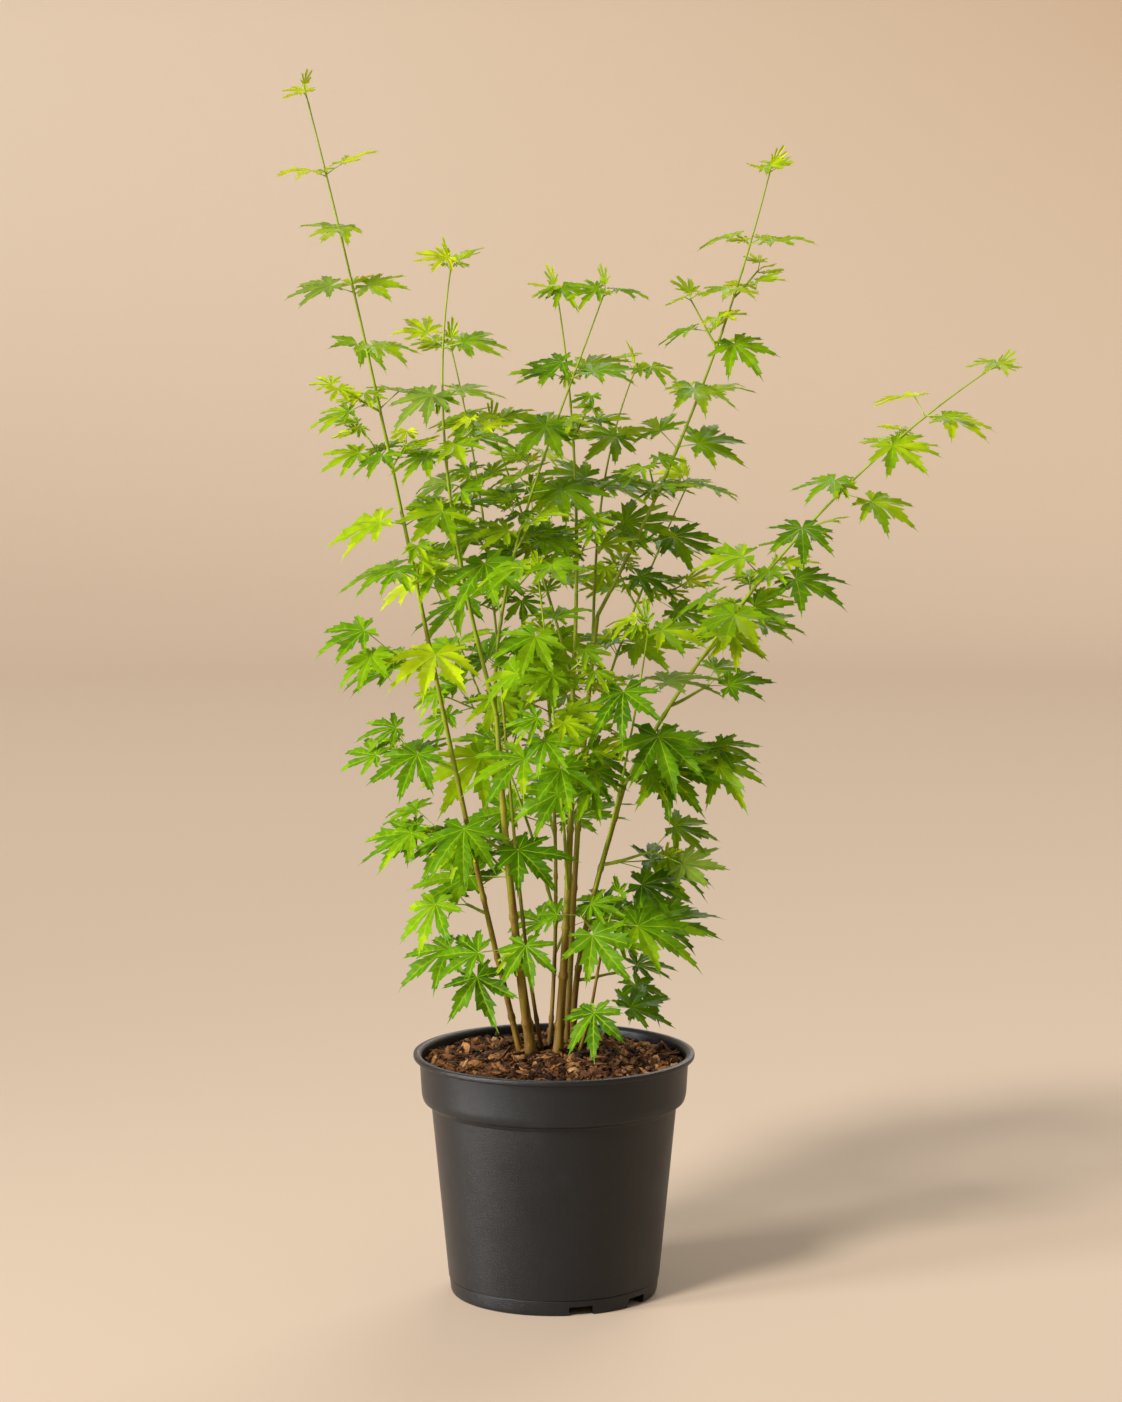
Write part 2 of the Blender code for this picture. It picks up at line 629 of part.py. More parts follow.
def turned(profile, segments):
    """A solid of revolution from a closed profile of (radius, z), where radius 0 is a pole."""
    verts, rings = [], []
    for radius, z in profile:
        if radius == 0:
            rings.append([len(verts)])
            verts.append(Vector((0, 0, z)))
        else:
            rings.append(list(range(len(verts), len(verts) + segments)))
            verts += [Vector((radius * math.cos(a), radius * math.sin(a), z))
                      for a in (2 * math.pi * j / segments for j in range(segments))]
    faces = []
    for a, b in zip(rings, rings[1:]):
        for j in range(segments):
            k = (j + 1) % segments
            quad = [a[j % len(a)], a[k % len(a)], b[k % len(b)], b[j % len(b)]]
            faces.append(tuple(v for i, v in enumerate(quad) if v not in quad[:i]))
    return verts, faces


def pot_profile():
    """The pot's section, from the middle of the underside out, up, over the rim and back down inside."""
    foot_inner = FOOT_RADIUS - FOOT_RING_WIDTH
    return [
        (0, 0),
        (CENTRE_PAD_RADIUS, 0),
        (CENTRE_PAD_RADIUS + 2 * MM, FLOOR_CHANNEL_Z),
        (foot_inner - 2 * MM, FLOOR_CHANNEL_Z),
        (foot_inner, 0),
        (FOOT_RADIUS - 1 * MM, 0),
        (FOOT_RADIUS, 1.2 * MM),
        (BODY_FOOT_RADIUS, FOOT_RING_TOP_Z),
        (BODY_TOP_RADIUS, BODY_TOP_Z),
        (COLLAR_BOTTOM_RADIUS - 1 * MM, COLLAR_BOTTOM_Z - 0.8 * MM),
        (COLLAR_BOTTOM_RADIUS, COLLAR_BOTTOM_Z),
        (COLLAR_TOP_RADIUS, POT_HEIGHT - RIM_BEAD_HEIGHT - 1 * MM),
        (RIM_RADIUS - 0.4 * MM, POT_HEIGHT - RIM_BEAD_HEIGHT),
        (RIM_RADIUS, POT_HEIGHT - 1.2 * MM),
        (RIM_RADIUS - 1.5 * MM, POT_HEIGHT),
        (COLLAR_TOP_RADIUS - 0.5 * MM, POT_HEIGHT),
        (COLLAR_TOP_RADIUS - WALL, POT_HEIGHT - 1.5 * MM),
        (COLLAR_BOTTOM_RADIUS - WALL, COLLAR_BOTTOM_Z + WALL),
        (BODY_TOP_RADIUS - WALL, BODY_TOP_Z + WALL),
        (BODY_FOOT_RADIUS - WALL, FOOT_RING_TOP_Z),
        (foot_inner - 1 * MM, FLOOR_TOP_Z),
        (0, FLOOR_TOP_Z),
    ]


def soil_profile():
    """The compost's section: it fills the pot 0.3 mm clear of the wall and is mounded in the middle."""
    wall = WALL + GAP * 1.6
    return [
        (0, FLOOR_TOP_Z + GAP),
        (FOOT_RADIUS - FOOT_RING_WIDTH - 2 * MM, FLOOR_TOP_Z + GAP),
        (BODY_FOOT_RADIUS - wall, FOOT_RING_TOP_Z + 1 * MM),
        (BODY_TOP_RADIUS - wall, BODY_TOP_Z + WALL),
        (COLLAR_BOTTOM_RADIUS - wall - 0.5 * MM, COLLAR_BOTTOM_Z + WALL + 1 * MM),
        (COLLAR_TOP_RADIUS - wall - 0.8 * MM, SOIL_EDGE_Z),
        (SOIL_FLAT_RADIUS, SOIL_TOP_Z),
        (0, SOIL_TOP_Z),
    ]


def cut_notches(pot):
    """Drain notches through the foot ring, in pairs."""
    angles = [first + step for first in NOTCH_PAIR_ANGLES for step in (0, NOTCH_PAIR_STEP)]
    for k, angle in enumerate(angles):
        out = compass(angle)
        across = UP.cross(out)
        centre = out * (FOOT_RADIUS - FOOT_RING_WIDTH / 2)
        corners = [centre + out * (NOTCH_DEPTH / 2 * a) + across * (NOTCH_WIDTH / 2 * b) + UP * z
                   for z in (-NOTCH_HEIGHT, NOTCH_HEIGHT) for a, b in ((-1, -1), (1, -1), (1, 1), (-1, 1))]
        quads = [(3, 2, 1, 0), (4, 5, 6, 7), (0, 1, 5, 4), (1, 2, 6, 5), (2, 3, 7, 6), (3, 0, 4, 7)]
        cutter = make_object("notch_cutter_%d" % k, corners, quads, None)
        cut = pot.modifiers.new("notch", "BOOLEAN")
        cut.operation = "DIFFERENCE"
        cut.object = cutter
        apply_modifiers(pot)
        bpy.data.objects.remove(cutter)


def apply_modifiers(piece):
    """Keep the evaluated mesh and drop the modifiers."""
    graph = bpy.context.evaluated_depsgraph_get()
    graph.update()
    mesh = bpy.data.meshes.new_from_object(piece.evaluated_get(graph))
    piece.modifiers.clear()
    piece.data = mesh


def crosses(c, d, a, b):
    """Whether the line from c to d passes between a and b, and the other way round."""
    lift = (a - b).cross(c - d)
    return (lift.dot((a - c).cross(d - c)) * lift.dot((b - c).cross(d - c)) < 0
            and lift.dot((c - a).cross(b - a)) * lift.dot((d - a).cross(b - a)) < 0)


def turn_shared_cuts(work):
    """Where the cuts of two flat faces fall on one edge, cut one of them the other way."""
    for edge in [e for e in work.edges if len(e.link_faces) > 2]:
        a, b = edge.verts
        pairs = [(f, g) for f in edge.link_faces for g in edge.link_faces
                 if f is not g and runs(f, a, b) and runs(g, b, a)]
        pairs.sort(key=lambda pair: -pair[0].normal.dot(pair[1].normal))
        for f, g in pairs:
            c = next(v for v in f.verts if v not in (a, b))
            d = next(v for v in g.verts if v not in (a, b))
            flat = f.normal.dot(g.normal) > FLAT
            if flat and c is not d and not work.edges.get((c, d)) and crosses(c.co, d.co, a.co, b.co):
                bmesh.ops.delete(work, geom=[f, g], context="FACES_ONLY")
                work.faces.new((c, a, d))
                work.faces.new((d, b, c))
                break


def runs(face, a, b):
    """Whether a face's outline goes from vertex a straight to vertex b."""
    corners = list(face.verts)
    return corners[(corners.index(a) + 1) % len(corners)] is b


def keep_main_shell(piece, cut):
    """Weld near points, and drop loose scraps and sealed hollows, so that one surface is left."""
    work = bmesh.new()
    work.from_mesh(piece.data)
    bmesh.ops.remove_doubles(work, verts=work.verts, dist=WELD)
    bmesh.ops.triangulate(work, faces=work.faces, quad_method="SHORT_EDGE", ngon_method=cut)
    turn_shared_cuts(work)
    unseen = set(work.faces)
    shells = []
    while unseen:
        stack = [unseen.pop()]
        shell = list(stack)
        while stack:
            for edge in stack.pop().edges:
                for face in edge.link_faces:
                    if face in unseen:
                        unseen.remove(face)
                        stack.append(face)
                        shell.append(face)
        shells.append(shell)
    shells.sort(key=len)
    for shell in shells[:-1]:
        bmesh.ops.delete(work, geom=shell, context="FACES")
    work.to_mesh(piece.data)
    work.free()


def fuse_mass(name, path, first, twigs, leaves, chance, material):
    """One leafy shoot: its axis with twiglets and leaves fused on by one union."""
    axis = make_object(name, *shoot_tube(path, first, chance), material)
    plain = axis.data
    for count in range(len(leaves), 0, -1):
        for stalk in STALK_RADII:
            operands = make_operands(name, twigs, leaves[:count], stalk, material)
            closed = any(join_all(axis, plain, operands, solver, cut) for solver, cut in JOINS)
            for piece in list(operands.objects):
                bpy.data.objects.remove(piece)
            bpy.data.collections.remove(operands)
            if closed:
                return


def make_operands(name, twigs, leaves, stalk, material):
    """A collection with a solid for each twiglet and each leaf."""
    operands = bpy.data.collections.new(name + "_parts")
    bpy.context.scene.collection.children.link(operands)
    for k, twig in enumerate(twigs):
        make_object("%s_twig_%d" % (name, k), *twiglet_tube(twig), material, operands)
    for k, leaf in enumerate(leaves):
        make_object("%s_leaf_%d" % (name, k), *leaf_solid(leaf, stalk=stalk), material, operands)
    return operands


def join_all(axis, plain, operands, solver, cut):
    """Fuse a collection onto a plain mesh, and say whether the result is one closed solid."""
    axis.data = plain.copy()
    join = axis.modifiers.new("join", "BOOLEAN")
    join.operation = "UNION"
    join.operand_type = "COLLECTION"
    join.collection = operands
    join.solver = solver
    apply_modifiers(axis)
    keep_main_shell(axis, cut)
    return is_closed(axis)


def is_closed(piece):
    """Whether every edge has exactly two faces."""
    uses = {}
    for polygon in piece.data.polygons:
        for edge in polygon.edge_keys:
            uses[edge] = uses.get(edge, 0) + 1
    return all(count == 2 for count in uses.values())


def main():
    """Build every object."""
    for piece in list(bpy.data.objects):
        bpy.data.objects.remove(piece)
    plastic = make_material("pot_plastic", PLASTIC)
    compost = make_material("compost", COMPOST)
    bark = make_material("bark", BARK)
    green_wood = make_material("green_wood", GREEN_WOOD)
    leaf_green = make_material("leaf_green", LEAF_GREEN)

    space = Space()
    pot_shell = turned(pot_profile(), POT_SEGMENTS)
    soil_fill = turned(soil_profile(), SOIL_SEGMENTS)
    space.add("pot", pot_shell)
    space.add("soil", soil_fill)
    pot = make_object("pot", *pot_shell, plastic)
    cut_notches(pot)
    shade(pot)
    shade(make_object("soil", *soil_fill, compost))

    limb_solids, masses = plan_plant(space)
    for name, (verts, faces) in limb_solids.items():
        make_object(name, verts, faces, bark if LIMBS[name].parent is None else green_wood)
    for name, (path, first, twigs, leaves, chance) in masses.items():
        fuse_mass(name, path, first, twigs, leaves, chance, leaf_green)


main()
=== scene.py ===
import json
import math
import random
from collections import namedtuple
from functools import cache

import bmesh
import bpy
from mathutils import Matrix, Vector, noise
from mathutils.bvhtree import BVHTree

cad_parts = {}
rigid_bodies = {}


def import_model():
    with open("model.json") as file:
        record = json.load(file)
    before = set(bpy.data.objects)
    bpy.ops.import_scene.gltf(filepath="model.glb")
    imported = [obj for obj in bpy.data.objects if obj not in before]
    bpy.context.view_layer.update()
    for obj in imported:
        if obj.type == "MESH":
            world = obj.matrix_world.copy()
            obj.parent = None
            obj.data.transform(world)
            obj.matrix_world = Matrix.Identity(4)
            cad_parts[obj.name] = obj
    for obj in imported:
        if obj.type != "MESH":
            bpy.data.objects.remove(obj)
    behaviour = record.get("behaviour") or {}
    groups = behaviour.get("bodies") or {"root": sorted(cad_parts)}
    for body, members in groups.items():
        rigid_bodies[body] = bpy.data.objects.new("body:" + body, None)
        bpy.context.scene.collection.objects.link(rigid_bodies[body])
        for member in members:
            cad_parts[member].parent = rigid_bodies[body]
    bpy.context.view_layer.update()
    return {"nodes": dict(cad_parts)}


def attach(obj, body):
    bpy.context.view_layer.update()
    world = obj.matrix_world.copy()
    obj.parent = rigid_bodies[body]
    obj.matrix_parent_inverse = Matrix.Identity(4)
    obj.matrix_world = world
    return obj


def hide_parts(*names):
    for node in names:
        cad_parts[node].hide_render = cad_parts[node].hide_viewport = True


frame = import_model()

MM = 0.001
UP = Vector((0.0, 0.0, 1.0))
GAP = 0.3 * MM
PATH_STEPS, CHAIN_STEPS, TANGENT_STEP = 32, 200, 0.004
CLEAR_STEP, CLEAR_POINTS, CLEAR_UP_TO = 0.001, 12, 0.5

# Pot: a thin moulded shell turned round Z.
POT_HEIGHT = 195 * MM
RIM_RADIUS = 112.5 * MM
RIM_BEAD_HEIGHT = 4.5 * MM
COLLAR_TOP_RADIUS = 107.5 * MM
COLLAR_BOTTOM_RADIUS = 105.8 * MM
COLLAR_BOTTOM_Z = 157.5 * MM
BODY_TOP_RADIUS = 98.2 * MM
BODY_TOP_Z = 152.5 * MM
BODY_FOOT_RADIUS = 84.6 * MM
FOOT_RING_TOP_Z = 12 * MM
FOOT_RADIUS = 82.8 * MM
FOOT_RING_WIDTH = 6 * MM
WALL = 1.8 * MM
FLOOR_TOP_Z = 6 * MM
FLOOR_CHANNEL_Z = 3.5 * MM
CENTRE_PAD_RADIUS = 46 * MM
NOTCH_HEIGHT = 7.6 * MM
NOTCH_WIDTH = 22 * MM
NOTCH_DEPTH = 16 * MM
NOTCH_PAIR_ANGLES = (-75, 30, 135)
NOTCH_PAIR_STEP = 37

# Soil: bark compost, a little below the rim and mounded round the stems.
SOIL_EDGE_Z = 186 * MM
SOIL_TOP_Z = 190.5 * MM
SOIL_FLAT_RADIUS = 52 * MM

# Limbs. A stem has no parent and starts at (x, y) on the soil; a bough starts on its parent at a fraction
# of the parent's length. low and high bow a limb off its straight chord, in metres; radii are in
# millimetres at both ends; bare is the share of its length that is a plain limb, and the rest is the axis
# of a leafy shoot.
Limb = namedtuple("Limb", "parent start tip low high radii bare", defaults=[1.0])
LIMBS = {name: Limb(*row) for name, *row in [
    ("left_leader", None, (-0.027, 0.015), (-0.190, -0.055, 0.954),
     (-0.008, 0.010, 0), (0.011, -0.025, 0), (2.9, 1.0), 0.47),
    ("left_trunk", None, (-0.018, 0.006), (-0.045, -0.018, 0.468),
     (-0.004, -0.004, 0), (-0.004, 0.002, 0), (5.0, 2.2)),
    ("left_bough", "left_trunk", 1.0, (-0.078, -0.060, 0.822),
     (-0.020, -0.003, 0), (-0.031, -0.014, 0), (2.1, 1.0), 0.26),
    ("inner_bough", "left_bough", 0.01, (0.040, -0.003, 0.800),
     (-0.033, 0.005, 0), (-0.010, 0.020, 0), (1.8, 1.0), 0.30),
    ("centre_trunk", None, (0.003, 0.008), (0.015, 0.012, 0.485),
     (0.003, -0.001, 0), (0.004, -0.005, 0), (4.3, 2.1)),
    ("centre_bough", "centre_trunk", 1.0, (0.002, 0.020, 0.800),
     (0.010, 0.004, 0), (0.013, 0.004, 0), (2.0, 1.0), 0.24),
    ("crossing_bough", "centre_bough", 0.01, (-0.050, 0.052, 0.690),
     (0.005, -0.006, 0), (0.004, -0.005, 0), (1.6, 0.9), 0.40),
    ("right_diagonal", None, (0.016, 0.030), (0.056, 0.000, 0.410),
     (-0.017, 0.006, 0), (-0.006, -0.001, 0), (3.1, 2.1)),
    ("right_bough", "right_diagonal", 1.0, (0.340, -0.040, 0.742),
     (-0.031, -0.020, 0.018), (-0.026, -0.004, 0.029), (2.0, 0.9), 0.30),
    ("right_stem", None, (0.010, 0.044), (0.035, 0.050, 0.540),
     (-0.003, -0.001, 0), (-0.006, 0.005, 0), (3.2, 1.9)),
    ("right_leader", "right_stem", 1.0, (0.170, 0.018, 0.896),
     (0.014, -0.002, -0.006), (0.015, -0.005, -0.006), (1.8, 1.0), 0.22),
    ("back_bough", "right_stem", 0.90, (0.066, 0.102, 0.735),
     (-0.010, 0.007, 0), (-0.020, 0.013, 0), (1.5, 0.9), 0.30),
    ("rear_right_bough", "right_stem", 0.62, (0.110, 0.140, 0.640),
     (-0.012, 0.016, 0), (-0.006, 0.012, 0), (1.6, 0.9), 0.32),
    ("slim_left_stem", None, (-0.010, 0.026), (-0.082, 0.030, 0.757),
     (-0.009, -0.020, 0), (0.023, -0.008, 0), (1.9, 0.9), 0.50),
    ("rear_stem", None, (-0.004, 0.038), (-0.022, 0.130, 0.660),
     (0.020, -0.020, 0), (0.010, -0.020, 0), (2.1, 1.0), 0.52),
    ("rear_left_bough", "rear_stem", 0.22, (-0.098, 0.110, 0.560),
     (0.010, 0.004, 0), (0.004, 0.010, 0), (1.5, 0.9), 0.36),
    ("short_right_stem", None, (0.020, 0.014), (0.050, -0.022, 0.322),
     (0.005, 0, 0), (-0.007, -0.001, 0), (1.7, 1.1), 0.66),
    ("front_bough", "centre_trunk", 0.45, (-0.012, -0.118, 0.590),
     (0.004, -0.020, 0), (0.002, -0.016, 0), (1.6, 0.9), 0.30),
    ("front_right_bough", "right_diagonal", 0.60, (0.072, -0.112, 0.545),
     (0.004, -0.016, 0), (0.004, -0.014, 0), (1.5, 0.9), 0.34),
]}
FOOT_FLARE = 1.30
FOOT_FLARE_HEIGHT = 10 * MM
TAPER_POWER = 0.8

# Side shoots: where each leaves its limb, its compass direction (0 is +X, 90 is +Y), how steeply it
# climbs, its length, how many pairs of leaves it bears and the length of their middle lobe.
Side = namedtuple("Side", "parent at compass climb length pairs leaf")
SIDES = {
    "low_left_shoot": Side("left_leader", 0.085, 200, 24, 0.014, 1, 0.068),
    "left_shoot_1": Side("left_leader", 0.150, 168, 22, 0.018, 1, 0.066),
    "left_shoot_2": Side("left_leader", 0.225, 205, 26, 0.036, 2, 0.056),
    "left_shoot_3": Side("left_leader", 0.305, 176, 24, 0.044, 2, 0.050),
    "left_shoot_4": Side("left_leader", 0.400, 214, 30, 0.052, 2, 0.064),
    "front_left_shoot": Side("left_trunk", 0.30, 252, 18, 0.026, 1, 0.064),
    "left_trunk_shoot": Side("left_trunk", 0.60, 236, 26, 0.040, 2, 0.054),
    "back_left_shoot": Side("slim_left_stem", 0.24, 132, 28, 0.042, 2, 0.056),
    "centre_shoot": Side("centre_trunk", 0.72, 284, 24, 0.046, 2, 0.054),
    "centre_back_shoot": Side("rear_stem", 0.16, 74, 24, 0.036, 1, 0.060),
    "rear_shoot": Side("rear_stem", 0.36, 100, 30, 0.046, 2, 0.056),
    "low_right_shoot": Side("short_right_stem", 0.30, -66, 10, 0.018, 1, 0.062),
    "right_shoot_1": Side("right_diagonal", 0.26, 2, 10, 0.032, 1, 0.058),
    "right_shoot_2": Side("right_diagonal", 0.70, -14, 16, 0.044, 2, 0.058),
    "right_back_shoot": Side("right_stem", 0.24, 44, 20, 0.042, 1, 0.062),
    "right_shoot_3": Side("right_bough", 0.07, -26, 4, 0.052, 2, 0.066),
    "right_shoot_4": Side("right_bough", 0.17, 20, 24, 0.036, 1, 0.054),
    "right_fork_shoot": Side("right_bough", 0.27, 34, 46, 0.104, 4, 0.042),
}

# Leafy shoots: how leaves are spaced, sized and turned. A share is of the length of the middle lobe.
TWIG_SIDES = 3
TWIG_TIP_RADIUS = 1.0 * MM
TWIG_ROOT_RADIUS = 1.5 * MM
SIDE_TWIG_STEP, SIDE_SAG, SIDE_LIFT = 20 * MM, 0.06, 0.02
LEAF_STEP = 45 * MM
PAIR_AT, LAST_PAIR_AT, FIRST_PAIR_TURN = 0.55, 0.985, (60, 120)
LEAF_BY_HEIGHT = [(0.30, 0.068), (0.48, 0.057), (0.70, 0.048), (0.86, 0.042), (0.96, 0.035)]
LEAF_SPREAD = (0.90, 1.08)
TIP_LEAF_SHARE = 0.70
TIP_TUFT_SHARE = 0.60
TIP_TUFT_LEAN = 0.45
TIP_TUFT_TURN = 65
TIP_TUFT_ROOT, TIP_TUFT_STALK = 1.3 * MM, 0.30
LEAF_CLIMB = 34
LAST_LEAF_CLIMB = 44
PAIR_OFFSET = 1.6 * MM
TWIGLET_CHANCE = 0.31
TWIGLET_CHANCE_ON = {"right_bough": 0.10, "right_leader": 0.22, "left_leader": 0.28}
TWIGLET_TOP_Z = 0.83
TWIGLET_LENGTH = 34 * MM
TWIGLET_RADIUS = 1.0 * MM
TWIGLET_LEAF_SHARE = 0.74
TWIGLET_TURN = 25
TWIGLET_SPREAD = (0.75, 1.3)
TWIGLET_OUT, TWIGLET_ON, TWIGLET_RISE, TWIGLET_BOW = 0.80, 0.60, 0.12, 0.05
TWIGLET_BARE, TWIGLET_PAIRS = 0.15, 2

# A leaf aims its blade at the light more squarely the lower and the more shaded it is. Each pair of
# numbers is for the crown's open top and for deep in it.
LIGHT = Vector((-0.30, -0.86, 0.42)).normalized()
CROWN_OPEN_Z = 0.80
CROWN_SHADE_DEPTH = 0.50
STALK_SHARE = (0.40, 0.60)
FACING = (0.30, 0.90)
OUTWARD = (0.10, 0.44)
UPWARD = (1.0, 0.75)

# How leaves differ by chance, and how a stalk bends towards the level on its way to the blade. A steep
# stalk, which has next to no level direction of its own, takes its shoot's and one by chance.
STALK_SPREAD = (0.75, 1.25)
BLADE_SCATTER = 0.20
BLADE_SWING = 54
STEEP_STALK, STEEP_LEAN = 0.25, 0.3
STALK_BEND_AT = 0.55
STALK_LEVELLING = 0.65
STALK_TURN = 0.35

# How hard a place is sought for a leaf, and how clear of everything else it stays.
TRIES = 9
FIRST_AIM_SPREAD = 8
AIM_SPREAD_STEP = 7
CLIMB_SPREAD = 12
SHRINK_STEP = 0.022
CLEAR_SWELL = 0.45 * MM
ROOT_SHARE = 0.45

# Leaf blade: lobes as (angle from the middle lobe, share of its length), and the notches between.
LOBES_LARGE = [(-112, 0.42), (-70, 0.74), (-33, 0.94), (0, 1.0), (33, 0.94), (70, 0.74), (112, 0.42)]
LOBES_SMALL = [(-82, 0.60), (-39, 0.90), (0, 1.0), (39, 0.90), (82, 0.60)]
NOTCH_SHARE = 0.45
LARGE_LEAF = 55 * MM
BLADE_CENTRE = 0.06
BLADE_DROOP = 0.15
BLADE_THICKNESS_SHARE = 0.023
PETIOLE_RADIUS = 0.65 * MM

# Young growth that only the looks have: its chance at a leaf's foot, and its size against that leaf's.
YOUNG_CHANCE = 0.74
YOUNG_SHARE = (0.42, 0.72)
YOUNG_CLIMB = 50
# Youth runs from 0 to 1, which is a leaf just opening. Small leaves look young wherever they stand.
YOUNG_YOUTH = 0.5
SMALL_LEAF, SMALL_LEAF_RANGE, SMALL_LEAF_YOUTH = 40 * MM, 16 * MM, 0.7

# Blade detail: shares are of a lobe's length, or of its half width where they concern its teeth.
RIB_HALF_WIDTH = 0.28 * MM
LOBE_HALF_WIDTH, WIDTH_SPREAD, YOUNG_SLIMMING = 0.158, (0.90, 1.14), 0.24
SHORT_LOBE, SHORT_LOBE_BREADTH = 0.6, 1.2
LOBE_PEAK = 0.46
WEB_SHARE = (0.13, 0.27)
GAP_SHARE = 0.24
GAP_REACH = 0.26
TOOTHED_TO = 0.87
TOOTH_PITCH = 6.6 * MM
TOOTH_OUT = 0.30
TOOTH_IN = 0.12
TOOTH_AHEAD, TOOTH_BACK = 0.62, 0.06
MINOR_TOOTH = 0.45
VEIN_SLANT = 0.85
VEIN_GROOVE = 0.62 * MM
VEIN_STRENGTH = 0.45
LEAF_LETS_THROUGH = 0.32
CRUMPLE = 1.3 * MM
CRUMPLE_SCALE = 75
SHADE_STEP_CHANCE = 0.07
LOBE_COLUMNS = (-1.0, -0.68, -0.34, -0.001, 0.001, 0.34, 0.68, 1.0)
RIB_COLUMN = 0.01
LOBE_SAG, LOBE_BEND, LOBE_SPLAY, LOBE_WAVE, LOBE_TWIST = (-0.09, 0.15), 0.126, 0.042, 0.13, 0.25
FOLD, FOLD_SPREAD = (0.24, 0.60), (-0.08, 0.12)
ARCH = 0.10
TIP_HOOK, TIP_HOOK_FROM = 0.18, 0.6
END_LOBE_ROOM, LEAST_ROOM = math.radians(30), 0.12
DROOP, DROOP_SPREAD = 0.11, (-0.09, 0.10)
TIP_CUP = 0.26
YOUNG_CLOSING = 0.34
LOBES_SPREAD, LOBE_TURN, LOBE_REACH = (0.95, 1.05), 4, (0.92, 1.05)
BASAL_LOBES = [(-114, 0.40), (114, 0.40)]
BASAL_TURN = 1.09
TIP_LOBES = [(-58, 0.52), (-26, 0.86), (0, 1.0), (26, 0.80), (58, 0.46)]

# Pieces of foliage, and the height where each begins.
LEAF_FLOORS = {"lower_leaves": 0.0, "middle_leaves": 0.46, "upper_leaves": 0.58, "top_leaves": 0.69}

# How bright a leaf is, from 0 to 1: at the least, and what height, an open place and youth add.
# An open place adds painted light, and height adds painted light besides the paler tone of upper growth;
# leaves deep in the crown are left darker as painted shade.
SHADE_LEAST, TONE_AND_PAINTED_LIGHT_OF_HEIGHT, PAINTED_LIGHT_OF_OPEN, SHADE_OF_YOUTH = 0.19, 0.46, 0.10, 0.18
SHADE_FOOT_Z, SHADE_RISE, SHADE_REACH = 0.22, 0.74, 0.20
SHADE_SCATTER, BRIGHT_CHANCE, BRIGHT_STEP = 0.085, 0.05, 0.25
TURNED_CHANCE, RED_STALK_CHANCE = 0.045, 0.12
# How the lobes of a leaf differ, where a lobe's tip begins, and how much brighter it is, old and young.
LOBE_SCATTER, LOBE_STEP = 0.03, 0.14
TIP_SHADE_FROM, TIP_STEP = 0.62, (0.05, 0.17)

# Shades of leaf, from the deepest to the brightest: linear base colours. They give the leaves' own tones, and
# also painted shade deep in the crown and painted light high up and in the open.
LEAF_SHADES = [
    ("leaf_deep", (0.044, 0.124, 0.001)),
    ("leaf_dark", (0.083, 0.200, 0.002)),
    ("leaf_mid", (0.148, 0.288, 0.002)),
    ("leaf_fresh", (0.250, 0.385, 0.003)),
    ("leaf_lime", (0.355, 0.475, 0.005)),
    ("leaf_yellow", (0.490, 0.575, 0.008)),
]
UNDERSIDE_SLOT, RIB_SLOT = len(LEAF_SHADES), len(LEAF_SHADES) + 1
PALE_UNDERSIDE = (0.170, 0.265, 0.034)
RIB_COLOUR = (0.255, 0.400, 0.012)

# Stalks and bark. A bark's colours are its brown, its olive and its green.
STALK_SIDES, STALK_STEP, STALK_FLARE = 6, 5 * MM, 2.5 * MM
STALK_THICKNESS, STALK_THINNEST, STALK_THICKEST, STALK_BOW = 0.012, 0.42 * MM, 0.80 * MM, 0.03
STALK_BARKS = {
    "stalk_green": ((0.150, 0.240, 0.020), (0.225, 0.320, 0.022), (0.280, 0.420, 0.040)),
    "stalk_red": ((0.220, 0.070, 0.030), (0.330, 0.130, 0.045), (0.300, 0.260, 0.050)),
}
SHOOT_BARK = ((0.108, 0.125, 0.006), (0.172, 0.225, 0.010), (0.240, 0.330, 0.014))
STEM_BARK = ((0.165, 0.088, 0.012), (0.185, 0.165, 0.010), (0.195, 0.235, 0.010))
BOUGH_BARK = ((0.118, 0.092, 0.007), (0.160, 0.175, 0.009), (0.200, 0.265, 0.011))
BARK_SIDES, SHOOT_SIDES, TWIGLET_SIDES = 14, 9, 7
BARK_STEP, SHOOT_STEP = 2.4 * MM, 3.12 * MM
BARK_RELIEF, SHOOT_RELIEF, TWIGLET_RELIEF = 0.13, 0.06, 0.05
TWIG_TAPER, TWIGLET_TAPER = (1.15, 0.70), (1.2, 0.7)
CANE_TIP_RADIUS = 0.65 * MM
SHOOT_OVERLAP = 0.004
BARK_SLIM = 0.88
# A stem turns from brown to green between these heights.
GREENING = (0.19, 0.46)
# The swellings along bare wood, each with a fine ring under it.
NODE_SPACING, NODE_SPREAD = 44 * MM, (0.85, 1.15)
NODE_SWELL = 0.30
NODE_LENGTH = 2.2 * MM
NODE_RING, NODE_RING_AT, NODE_RING_WIDTH = 0.10, 1.6 * MM, 0.5 * MM

